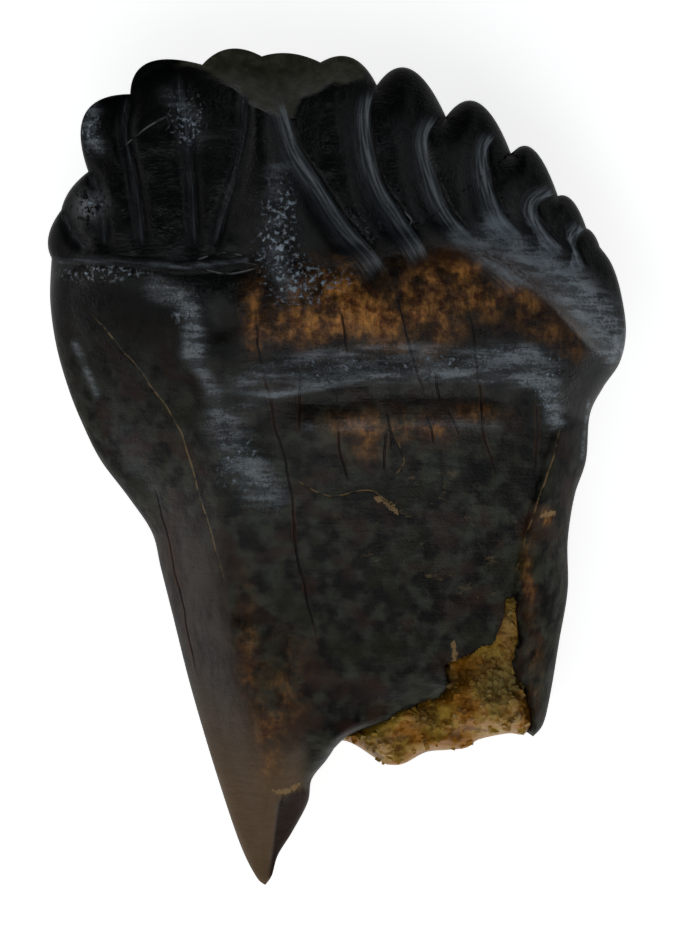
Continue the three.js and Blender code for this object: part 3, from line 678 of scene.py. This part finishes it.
def finish_material(start, inputs, other=None, share=None):
    """The material's surface, which goes over to the other one where the share is 1."""
    surface = start.node("ShaderNodeBsdfPrincipled", inputs=inputs)
    if other:
        second = start.node("ShaderNodeBsdfPrincipled", inputs=other)
        surface = start.node("ShaderNodeMixShader", inputs={0: share, 1: surface, 2: second})
    start.node("ShaderNodeOutputMaterial", inputs={"Surface": surface})


# Noise patterns of the surfaces: scale per mm, detail, roughness, stretch
TOOTH_PATTERNS = {
    "cloud": (1.3,),
    "mottle": (7.0, 5.0, 0.6),
    "soft_mottle": (4.2, 3.0, 0.5),
    "blotches": (1.9, 2.0, 0.5),
    "grain": (28.0, 4.0, 0.65),
    "pitted": (60.0, 2.0, 0.6),
    "ripple": (1.6, 5.0, 0.6, (1.0, 6.0, 1.0)),
    "fibres": (17.0, 4.0, 0.65, (1.0, 0.28, 1.0)),
    "drawn_out": (1.8, 5.0, 0.65, (1.6, 0.5, 1.0)),
    "cells": (2.6, 5.0, 0.65),
    "skin": (9.0, 4.0, 0.7),
    "broken_up": (6.0,),
    "flat_flecks": (3.2, 5.0, 0.7, (1.0, 1.8, 1.0)),
    "upright_flecks": (3.4, 5.0, 0.7, (2.4, 1.0, 1.0)),
    "ragged": (14.0, 4.0, 0.7),
    # Noise of the painted glints
    "specks": (15.0, 3.0, 0.6),
}
FILL_PATTERNS = {
    "cloud": (2.6, 4.0, 0.6),
    "grain": (9.0, 5.0, 0.65),
    # Patches of painted shade
    "gap_shade": (3.2, 4.0, 0.6, (1.0, 1.6, 1.0)),
}


def patterns_of(mm, table):
    return {name: mm.noise(*values) for name, values in table.items()}


def grey(level):
    return (level, level, level, 1.0)


def tooth_material(look):
    material, start, mm = new_material("tooth_enamel_and_dentine")
    names = ("satin", "painted_sheen", "column", "chip", "fleck", "dull", "spark", "crest", "stain", "worn", "pale")
    satin, painted_sheen, column, chip, fleck, dull, sparks, crest, stain, worn, pale = map(start.attribute, names)
    # The flow's third part is painted sheen down the furrows
    across, along, furrow_sheen_paint = start.attribute("flow", output=1).parts()
    dark_offset, dark_strength, _ = start.attribute("dark_crack", output=1).parts()
    flake_offset, flake_strength, _ = start.attribute("flake", output=1).parts()
    pale_offset, pale_strength, _ = start.attribute("pale_crack", output=1).parts()

    made = patterns_of(mm, TOOTH_PATTERNS)
    cloud, mottle, grain = made["cloud"], made["mottle"], made["grain"]
    ripple, fibres = made["ripple"], made["fibres"]

    enamel = cloud.between(0.35, 0.7).mix(look.enamel, look.enamel_green)
    dentine = made["soft_mottle"].between(0.37, 0.7).mix(look.dentine_dark, look.dentine_light)
    blotches = made["blotches"]
    dentine = (blotches.between(0.5, 0.68) * 0.75).mix(dentine, look.blotch_red)
    dentine = (blotches.between(0.3, 0.52, 1.0, 0.0) * 0.6).mix(dentine, look.blotch_olive)
    colour = satin.mix(enamel, dentine)
    toward_point = mm.parts()[1].between(-4.6, -2.6, 1.0, 0.0)
    column_colour = made["drawn_out"].between(0.35, 0.62).mix(look.column_dark, look.column)
    column_colour = (toward_point * 0.7).mix(column_colour, look.column_tip)
    colour = column.mix(colour, column_colour)
    rust = mottle.between(0.35, 0.65).mix(look.rust, look.ochre)
    cells = made["cells"].between(0.38, 0.6)
    patchy = stain * (0.15 + cells * 0.95) * (0.55 + fibres.between(0.4, 0.62) * 0.5)
    colour = patchy.mix(colour, rust)
    colour = worn.mix(colour, mottle.between(0.35, 0.7).mix(look.worn, look.worn_light))
    colour = chip.mix(colour, grain.between(0.35, 0.7).mix(look.blotch_red, look.column_dark))
    colour = (pale * made["skin"].between(0.42, 0.52)).mix(colour, look.mineral)
    dark_line = painted_line(dark_offset, dark_strength, 0.006, 0.02)
    pale_line = painted_line(pale_offset, pale_strength, 0.005, 0.016)
    broken_up = made["broken_up"].between(0.42, 0.56)
    line_colour = satin.between(0.0, 0.05).mix(look.mineral, look.vein)
    colour = (pale_line * broken_up * 0.5).mix(colour, line_colour)
    rusty_edge = painted_line(dark_offset, dark_strength, 0.012, 0.05) * cloud.between(0.42, 0.6)
    colour = (rusty_edge * 0.3).mix(colour, look.rust)
    colour = (dark_line * 0.9).mix(colour, look.crack)
    flecks = made["flat_flecks"].between(0.61, 0.68) + made["upright_flecks"].between(0.64, 0.7)
    colour = (flecks * fleck * 0.5).mix(colour, look.vein)
    flake_edge = made["ragged"].between(0.35, 0.65, 0.004, 0.055) * flake_strength
    flake = (flake_edge - abs(flake_offset)).between(-0.006, 0.006) * flake_strength.between(0.05, 0.3)
    colour = (flake * 0.8).mix(colour, look.vein)

    glint = grain.between(0.45, 0.75)
    rough = 0.1 + satin * 0.2 + worn * 0.35 + column * 0.12 + mottle * 0.05 + painted_sheen * 0.08 - glint * 0.04

    streaky = streaks_of(start, across, along)
    # Painted sheen: a pale blue grey colour laid where highlights fall, along the sheen lines and down the
    # furrows
    sparkle = (grain * 0.3 + ripple * 0.6 + fibres * 0.1).between(0.43, 0.58)
    sheen_paint = painted_sheen * (0.4 + sparkle * 0.6) * (0.6 + cloud.between(0.35, 0.6) * 0.4)
    # Painted highlight strips down the furrows
    sheen_paint = sheen_paint + furrow_sheen_paint * (0.28 + streaky.between(0.38, 0.66) * 0.35)
    sheen_paint = sheen_paint * sheen_paint.between(-0.1, 0.65)
    colour = sheen_paint.mix(colour, look.painted_sheen)
    colour = (crest * (0.55 + fibres.between(0.4, 0.6) * 0.4)).mix(colour, look.crest)
    # Painted glints: small bright specks that stand in for highlights
    specks = (made["specks"] + sparks * 0.08).between(0.56, 0.7) * sparks.between(0.1, 0.6)
    colour = specks.mix(colour, look.spark)
    height = grain * (0.25 + painted_sheen * 0.8) + made["pitted"] * (0.15 + painted_sheen * 0.3) + mottle * 0.5
    height = height + streaky * furrow_sheen_paint * 0.9 + ripple * satin * 0.8
    height = height + specks * 1.5 - dark_line * 0.9 - pale_line * 0.3
    normal = bumps(start, height, 0.03 * MM)
    glossy = {"Base Color": colour, "Roughness": rough, "Normal": normal, "Specular IOR Level": 0.35}
    matte = {"Base Color": colour, "Roughness": 0.5, "Normal": normal, "Specular IOR Level": 0.02}
    finish_material(start, glossy, matte, dull)
    return material


def painted_line(offset, strength, full, gone):
    """The line's strength on it, fading between two distances from it in mm."""
    return (1 - abs(offset).between(full, gone)) * strength


def streaks_of(start, across, along):
    """Noise drawn out along the furrows."""
    place = start.node("ShaderNodeCombineXYZ", inputs={0: across * 30.0, 1: along * 1.4})
    return start.node("ShaderNodeTexNoise", inputs={"Vector": place, "Scale": 1.0, "Detail": 3.0})


def bumps(start, height, depth):
    return start.node("ShaderNodeBump", inputs={"Strength": 1.0, "Distance": depth, "Height": height})


def fill_material(look):
    material, start, mm = new_material("crystal_fill")
    tint = start.attribute("tint")
    pale = start.attribute("pale")
    made = patterns_of(mm, FILL_PATTERNS)
    grain = made["grain"]
    colour = made["cloud"].between(0.4, 0.58).mix(look.honey, look.amber)
    colour = (pale * 0.7).mix(colour, look.cream)
    colour = (tint.between(0.6, 1.0) * 0.5).mix(colour, look.cream)
    colour = (grain.between(0.58, 0.72) * 0.4).mix(colour, look.cream)
    # Painted shade: umber in the low grain and in patches stands in for shade in the gaps between crystals
    colour = (grain.between(0.3, 0.44, 1.0, 0.0) * 0.6).mix(colour, look.umber)
    colour = (made["gap_shade"].between(0.52, 0.64) * 0.75).mix(colour, look.umber)
    normal = bumps(start, grain, 0.06 * MM)
    surface = {"Base Color": colour, "Roughness": 0.45, "Normal": normal, "Specular IOR Level": 0.25}
    finish_material(start, surface)
    return material


def floor_material():
    """Pale paper that glows, most near the tooth: painted light that washes out the tooth's shadow so that
    the floor stays white.
    """
    material, start, mm = new_material("pale_floor")
    shade = mm.noise(0.2).between(0.0, 1.0).mix(grey(0.86), grey(0.9))
    away = start.node("ShaderNodeVectorMath", {"operation": "LENGTH"}, {0: mm}, output=1)
    # Painted light: the floor glows brightest near the tooth to wash out its shadow
    painted_glow = away.between(8.5, 24.0).mix(grey(1.0), grey(0.3))
    finish_material(
        start,
        {
            "Base Color": shade,
            "Roughness": 0.9,
            "Specular IOR Level": 0.1,
            "Emission Color": painted_glow,
            "Emission Strength": 0.8,
        },
    )
    return material


def shade_of(name, description, value):
    return bpy.props.FloatVectorProperty(
        name=name, description=description, subtype="COLOR", size=4, min=0.0, max=1.0, default=(*value, 1.0)
    )


class ToothLook(bpy.types.PropertyGroup):
    """Colours of the tooth, and of the painted sheen and bright specks that stand in for its highlights."""

    enamel: shade_of("Enamel", "Near black of the crown", (0.0015, 0.0018, 0.0018))
    enamel_green: shade_of("Enamel shade", "Greener black of the crown", (0.0032, 0.0042, 0.0034))
    dentine_dark: shade_of("Root, dark", "Darker mottling of the root", (0.0018, 0.0020, 0.0016))
    dentine_light: shade_of("Root, light", "Lighter mottling of the root", (0.056, 0.060, 0.044))
    rust: shade_of("Rust", "Darker stain below the crown", (0.20, 0.055, 0.011))
    ochre: shade_of("Ochre", "Lighter stain below the crown", (0.88, 0.38, 0.09))
    column: shade_of("Splinter", "Satin brown grey of the long splinter", (0.075, 0.058, 0.047))
    column_tip: shade_of("Splinter, point", "Browner point of the splinter", (0.20, 0.125, 0.065))
    blotch_red: shade_of("Root, red", "Reddish blotches of the root", (0.040, 0.018, 0.011))
    blotch_olive: shade_of("Root, olive", "Olive blotches of the root", (0.026, 0.026, 0.010))
    crest: shade_of("Crest", "Deep brown along the crest of the belt", (0.045, 0.016, 0.004))
    # Painted glints: colour of the bright specks that stand in for highlights
    spark: shade_of("Painted glints", "Painted bright specks standing in for glints", (0.46, 0.54, 0.64))
    column_dark: shade_of("Splinter, dark", "Dark mottling of the splinter", (0.024, 0.018, 0.014))
    # Painted sheen: the pale blue grey that stands in for highlights
    painted_sheen: shade_of("Painted sheen", "Painted blue grey sheen in the furrows and on the belt", (0.42, 0.48, 0.54))
    worn: shade_of("Worn tip", "Matte bevel at the tip", (0.040, 0.038, 0.024))
    worn_light: shade_of("Worn tip, light", "Lighter specks of the worn tip", (0.075, 0.072, 0.050))
    mineral: shade_of("Mineral", "Pale mineral skin on a chip", (0.36, 0.36, 0.38))
    vein: shade_of("Vein", "Pale filling of fine cracks", (0.38, 0.24, 0.10))
    crack: shade_of("Crack", "Empty fine cracks", (0.004, 0.003, 0.003))
    rings: bpy.props.IntProperty(
        name="Rings", description="Rings of faces from the middle to the rim", default=105, min=21, max=110
    )


class FillLook(bpy.types.PropertyGroup):
    """Colours and grain of the crystals in the broken root, with the painted shade between them."""

    honey: shade_of("Honey", "Main colour", (0.50, 0.30, 0.035))
    amber: shade_of("Amber", "Deeper patches", (0.46, 0.185, 0.010))
    cream: shade_of("Cream", "Pale crystals", (0.60, 0.47, 0.19))
    # Painted shade between the crystals
    umber: shade_of("Umber", "Painted shade between crystals", (0.15, 0.06, 0.008))
    crystal_size: bpy.props.FloatProperty(
        name="Crystal size", description="Largest crystal", default=0.1 * MM, unit="LENGTH", precision=6
    )
    crystal_density: bpy.props.FloatProperty(
        name="Crystal density", description="Crystals on each square metre", default=170 / MM**2
    )
    crystals: bpy.props.IntProperty(name="Crystals", description="Seed of the scatter", default=5, min=0)


def new_piece(name, mesh, material):
    piece = bpy.data.objects.new(name, mesh)
    bpy.context.scene.collection.objects.link(piece)
    piece.data.materials.clear()
    piece.data.materials.append(material)
    return piece


def centred(mesh, node):
    """Moves a mesh so that its box stands on the middle of the node's box, as the solid does."""
    co = np.empty(len(mesh.vertices) * 3, np.float32)
    mesh.vertices.foreach_get("co", co)
    co = co.reshape(-1, 3)
    low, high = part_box(node)
    shift = (np.array(low) + np.array(high)) / 2 - (co.min(0) + co.max(0)) / 2
    shift[2] = low[2] - co[:, 2].min()
    mesh.vertices.foreach_set("co", (co + shift).astype(np.float32).ravel())
    mesh.update()
    return shift


class TOOTH_OT_tooth(bpy.types.Operator):
    """Make the crown and the broken root."""

    bl_idname = "tooth.tooth"
    bl_label = "Tooth"

    def execute(self, context):
        look = context.scene.tooth_look
        rim = tooth_rim(look.rings // 21)
        made = pillow("tooth_surface", rim, TOOTH_MIDDLE, look.rings, 0.85, front_z, back_z)
        mesh = made[0]
        paint_tooth(*made)
        centred(mesh, "tooth")
        piece = new_piece("tooth_surface", mesh, tooth_material(look))
        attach(piece, "root")
        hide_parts("tooth")
        return {"FINISHED"}


def paint_tooth(mesh, points, rim_distance):
    """Stores where the finishes of the tooth lie, and where its painted sheen and painted bright specks stand
    in for highlights.
    """
    x, y, z = points.T
    front = (z > rim_z(y) - 1e-6).astype(float)
    hidden_x = np.where(front > 0, x, -0.8 * x)
    ledge_distance, _, ledge_side = nearest(curve(LEDGE, LONG_LINE), x, y)
    below = -ledge_side * ledge_distance
    corner_distance, _, corner_side = nearest(curve(LEFT_CORNER, LONG_LINE), x, y)
    right_of_corner = corner_side * corner_distance
    past_right_corner = ramp(nearest(curve(RIGHT_CORNER, LONG_LINE), x, y)[2], 0, 1)
    crest_distance, crest_along, _ = nearest(curve(CREST, 40), x, y)

    column = ramp(-right_of_corner, -0.05, 0.1) * ramp(-y, 0.0, 1.6)
    column = np.maximum(column, ramp(-y, 3.0, 4.2) * (1 - ramp(x, -0.6, -0.3))) * lerp(0.7, 1, front)
    flange = past_right_corner * ramp(-y, -1.1, -0.6) * ramp(x, 1.6, 2.0)
    near_rim = 0.9 * (1 - ramp(rim_distance, 0.15, 0.6))
    lateral = 0.55 * ramp(-right_of_corner, 0.0, 0.5) * ramp(below, 0.0, 0.5)
    root_end = ramp(-y, -1.4, 3.0) * 0.6
    # Painted sheen: where the blue grey colour stands in for highlights
    painted_sheen = sum(
        strength * bell(nearest(curve(line, SHORT_LINE), x, y)[0] / width) for line, width, strength in PAINTED_SHEEN_LINES
    )
    finishes = {
        "column": column,
        "satin": np.maximum(ramp(below, 0.2, 2.6), 0.5 * (1 - front)),
        "dull": np.max([column * 0.6, flange, near_rim, lateral, root_end], axis=0),
        "stain": np.clip(spots(STAINS, hidden_x, y) * lerp(0.4, 1, front), 0, 1),
        "crest": bell(crest_distance / 0.13) * (1 - ramp(crest_along, 0.85, 1.0)) * front,
        "painted_sheen": np.clip(painted_sheen, 0, 1) * front,
        # Painted glints: where the bright specks lie
        "spark": np.clip(spots(SPARKS, x, y), 0, 1) * front,
        "fleck": bell(np.hypot((x - 1.2) / 1.0, (y + 0.9) / 0.9)) * front,
        "worn": ramp(wear_facet(x, y)[0], -0.03, 0.03) * front,
        "chip": ramp(signed_depth(CHIP_EDGE, CHIP_FAR, x, y)[0], -0.02, 0.02) * front,
        "pale": bell(np.hypot(x + 3.3, y - 3.5) / 0.16) * front,
        "flow": furrow_flow(x, y, front),
        "dark_crack": crack_field(DARK_CRACKS, hidden_x, y),
        "pale_crack": crack_field(PALE_CRACKS, x, y) * front[:, None],
        "flake": crack_field(FLAKES, x, y) * front[:, None],
    }
    for name, values in finishes.items():
        give(mesh, name, values)


def spots(list_of_spots, x, y):
    """Sum of soft spots, each with its place, half width, half height and strength."""
    total = np.zeros(x.shape)
    for px, py, wide, high, strength in list_of_spots:
        total += strength * bell(np.hypot((x - px) / wide, (y - py) / high))
    return total


def furrow_flow(x, y, front):
    """For each point: how far across and along the nearest furrow it is, and how much painted sheen, colour
    standing in for a highlight, it has there.
    """
    best = np.full(x.shape, np.inf)
    across = np.zeros(x.shape)
    run = np.zeros(x.shape)
    sheen = np.zeros(x.shape)
    for line in LEFT_FURROWS + RIGHT_FURROWS:
        path = curve(line, SHORT_LINE)
        distance, along, side = nearest(path, x, y)
        closer = distance < best
        best = np.where(closer, distance, best)
        across = np.where(closer, side * distance, across)
        run = np.where(closer, along * len(path) * 0.1, run)
        ends = ramp(along, 0.01, 0.12) * (1 - ramp(along, 0.9, 1.0))
        if line in LEFT_FURROWS:
            strip = 0.6 * bell(distance / 0.045)
        else:
            right = -side * distance
            strip = ramp(right, -0.03, 0.03) * (1 - ramp(right, 0.02, lerp(0.25, 0.55, along)))
        sheen = np.where(closer, strip * ends, sheen)
    return np.stack([across, run, sheen * front], axis=1)


class TOOTH_OT_fill(bpy.types.Operator):
    """Make the crystals in the broken root."""

    bl_idname = "tooth.fill"
    bl_label = "Crystal fill"

    def execute(self, context):
        look = context.scene.fill_look
        broken = np.array(FILL_EDGE)
        broken = np.concatenate([np.linspace(a, b, 16, endpoint=False) for a, b in zip(broken, broken[1:])])
        loose = curve([FILL_EDGE[-1], *FILL_END, FILL_EDGE[0]], 160)[:-1]
        rim = np.concatenate([broken, loose, broken[:1]])
        low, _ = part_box("root_fill")
        bottom_z, top_z = low[2] / MM, FILL_TOP
        half = (bottom_z + top_z) / 2

        def top(x, y, rim_distance):
            lumps = lerp(FILL_LUMPS, TONGUE_LUMPS, ramp(y, -2.8, -2.3))
            lumps = lumps * layered_noise(x, y, 2.6, seed=61, layers=4)
            slope = FILL_FALL * ramp(-y, 3.0, 3.9) - TONGUE_RISE * ramp(y, -2.7, -2.0)
            soft = lerp(0.3, 0.05, ramp(y, -2.9, -2.3))
            return half + (top_z + lumps - slope - half) * quarter_round(rim_distance / soft)

        def bottom(x, y, rim_distance):
            return half + (bottom_z - half) * quarter_round(rim_distance / 0.12)

        mesh, points, _ = pillow("root_fill_base", rim, FILL_MIDDLE, 44, 0.9, top, bottom)
        give(mesh, "pale", np.clip(spots(FILL_PALE, *points.T[:2]), 0, 1))
        give(mesh, "tint", np.full(len(points), 0.3))
        base = new_piece("root_fill_base", mesh, fill_material(look))
        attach(base, "root")
        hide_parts("root_fill")
        crystals = scatter_crystals(base, look)
        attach(crystals, "root")
        return {"FINISHED"}


def scatter_crystals(base, look):
    """Small rhombs over the fill, scattered by a node group with named sizes and a seed."""
    group = bpy.data.node_groups.new("crystal_scatter", "GeometryNodeTree")
    group.interface.new_socket("Geometry", in_out="INPUT", socket_type="NodeSocketGeometry")
    sizes = {"Density": look.crystal_density, "Crystal size": look.crystal_size}
    sockets = {}
    for name in sizes:
        sockets[name] = group.interface.new_socket(name, in_out="INPUT", socket_type="NodeSocketFloat")
    sockets["Seed"] = group.interface.new_socket("Seed", in_out="INPUT", socket_type="NodeSocketInt")
    group.interface.new_socket("Geometry", in_out="OUTPUT", socket_type="NodeSocketGeometry")
    start = Shade(group)
    entry = group.nodes.new("NodeGroupInput")
    names = ("Geometry", "Density", "Crystal size", "Seed")
    given = {name: Shade(group, entry.outputs[name]) for name in names}

    normal = start.node("GeometryNodeInputNormal")
    upward = normal.parts()[2].math("GREATER_THAN", 0.25)
    pale = start.node("GeometryNodeInputNamedAttribute", {"data_type": "FLOAT"}, {"Name": "pale"})
    density = given["Density"] * (pale * 0.8 + 0.2)
    spread = {"Mesh": given["Geometry"], "Selection": upward, "Density": density, "Seed": given["Seed"]}
    points = start.node("GeometryNodeDistributePointsOnFaces", inputs=spread)
    turned = start.node(
        "FunctionNodeRandomValue",
        {"data_type": "FLOAT_VECTOR"},
        {0: (0.0, 0.0, 0.0), 1: (3.1, 3.1, 3.1), "Seed": given["Seed"]},
    )
    scale = start.node(
        "FunctionNodeRandomValue",
        {"data_type": "FLOAT"},
        {2: given["Crystal size"] * 0.2, 3: given["Crystal size"], "Seed": given["Seed"] + 1.0},
        output=1,
    )
    rhomb = start.node("GeometryNodeMeshCube", inputs={"Size": (1.0, 0.8, 0.65)})
    placing = {"Points": points, "Instance": rhomb, "Rotation": turned, "Scale": scale}
    placed = start.node("GeometryNodeInstanceOnPoints", inputs=placing)
    real = start.node("GeometryNodeRealizeInstances", inputs={"Geometry": placed})
    tint = start.node("FunctionNodeRandomValue", {"data_type": "FLOAT"}, output=1)
    named = start.node(
        "GeometryNodeStoreNamedAttribute",
        {"data_type": "FLOAT", "domain": "FACE"},
        {"Geometry": real, "Name": "tint", "Value": tint},
    )
    material = base.data.materials[0]
    finished = start.node("GeometryNodeSetMaterial", inputs={"Geometry": named, "Material": material})
    leaving = group.nodes.new("NodeGroupOutput")
    group.links.new(finished.socket, leaving.inputs[0])

    carrier = bpy.data.objects.new("root_fill_crystals", base.data.copy())
    bpy.context.scene.collection.objects.link(carrier)
    modifier = carrier.modifiers.new("Crystals", "NODES")
    modifier.node_group = group
    for name, value in {**sizes, "Seed": look.crystals}.items():
        modifier[sockets[name].identifier] = value
    graph = bpy.context.evaluated_depsgraph_get()
    mesh = bpy.data.meshes.new_from_object(carrier.evaluated_get(graph))
    carrier.modifiers.remove(modifier)
    carrier.data = mesh
    return carrier


class TOOTH_OT_stage(bpy.types.Operator):
    """Make the floor, the lights and the camera."""

    bl_idname = "tooth.stage"
    bl_label = "Stage"

    def execute(self, context):
        scene = context.scene
        mesh = bpy.data.meshes.new("floor")
        half = FLOOR_SIDE / 2
        corners = [(-half, -half, 0), (half, -half, 0), (half, half, 0), (-half, half, 0)]
        mesh.from_pydata(corners, [], [(0, 1, 2, 3)])
        floor = new_piece("floor", mesh, floor_material())
        floor.location.z = -FLOOR_GAP
        for name, place, size, power, colour in LIGHTS:
            add_light(name, place, size, power, colour)
        world = bpy.data.worlds.new("studio")
        world.use_nodes = True
        sky = world.node_tree.nodes["Background"].inputs
        sky["Color"].default_value = SKY
        sky["Strength"].default_value = SKY_STRENGTH
        scene.world = world
        scene.view_settings.view_transform = "Standard"
        add_camera(scene)
        return {"FINISHED"}


FLOOR_SIDE = 1.2  # metres, as all sizes of the stage
FLOOR_GAP = 0.00002
CAMERA_HEIGHT = 0.16
SENSOR = 24.0
SKY, SKY_STRENGTH = (0.9, 0.95, 1.0, 1.0), 0.02

# Name, place in metres, side of the square in metres, power in watts, colour
LIGHTS = [
    ("window", (-0.03, -0.08, 0.285), 0.10, 0.11, (0.90, 0.96, 1.0)),
    ("window_left", (-0.09, 0.0, 0.28), 0.07, 0.025, (0.90, 0.96, 1.0)),
    ("front", (0.05, -0.26, 0.14), 0.18, 0.16, (1.0, 0.98, 0.94)),
    ("left", (-0.26, -0.08, 0.14), 0.16, 0.085, (1.0, 0.97, 0.93)),
    ("right", (0.24, 0.12, 0.16), 0.18, 0.08, (0.9, 0.97, 1.0)),
]


def add_light(name, place, size, power, colour):
    data = bpy.data.lights.new(name, "AREA")
    data.size = size
    data.energy = power
    data.color = colour
    light = bpy.data.objects.new(name, data)
    light.location = place
    aim = -light.location
    light.rotation_euler = aim.to_track_quat("-Z", "Y").to_euler()
    bpy.context.scene.collection.objects.link(light)


def add_camera(scene):
    """Looks straight down, with the tooth where it lies in the picture."""
    data = bpy.data.cameras.new("camera")
    data.sensor_fit = "VERTICAL"
    data.sensor_height = SENSOR
    seen = PICTURE[1] / POINTS_PER_MM * MM
    data.lens = SENSOR * (CAMERA_HEIGHT - RIM_Z * MM) / seen
    camera = bpy.data.objects.new("camera", data)
    x = (PICTURE[0] / 2 - TOOTH_IN_PICTURE[0]) / POINTS_PER_MM * MM
    y = (TOOTH_IN_PICTURE[1] - PICTURE[1] / 2) / POINTS_PER_MM * MM
    camera.location = (x, y, CAMERA_HEIGHT)
    scene.collection.objects.link(camera)
    scene.camera = camera


class TOOTH_PT_panel(bpy.types.Panel):
    """Lists the steps and the looks."""

    bl_label = "Fossil tooth"
    bl_idname = "TOOTH_PT_panel"
    bl_space_type = "VIEW_3D"
    bl_region_type = "UI"
    bl_category = "Tooth"

    def draw(self, context):
        for look, steps in (("tooth_look", ["tooth.tooth"]), ("fill_look", ["tooth.fill", "tooth.stage"])):
            for step in steps:
                self.layout.operator(step)
            group = getattr(context.scene, look)
            for name in type(group).__annotations__:
                self.layout.prop(group, name)


CLASSES = (ToothLook, FillLook, TOOTH_OT_tooth, TOOTH_OT_fill, TOOTH_OT_stage, TOOTH_PT_panel)


def register():
    for cls in CLASSES:
        bpy.utils.register_class(cls)
    bpy.types.Scene.tooth_look = bpy.props.PointerProperty(type=ToothLook)
    bpy.types.Scene.fill_look = bpy.props.PointerProperty(type=FillLook)


def unregister():
    del bpy.types.Scene.fill_look
    del bpy.types.Scene.tooth_look
    for cls in reversed(CLASSES):
        bpy.utils.unregister_class(cls)


def main():
    register()
    bpy.ops.tooth.tooth()
    bpy.ops.tooth.fill()
    bpy.ops.tooth.stage()


if __name__ == "__main__":
    main()
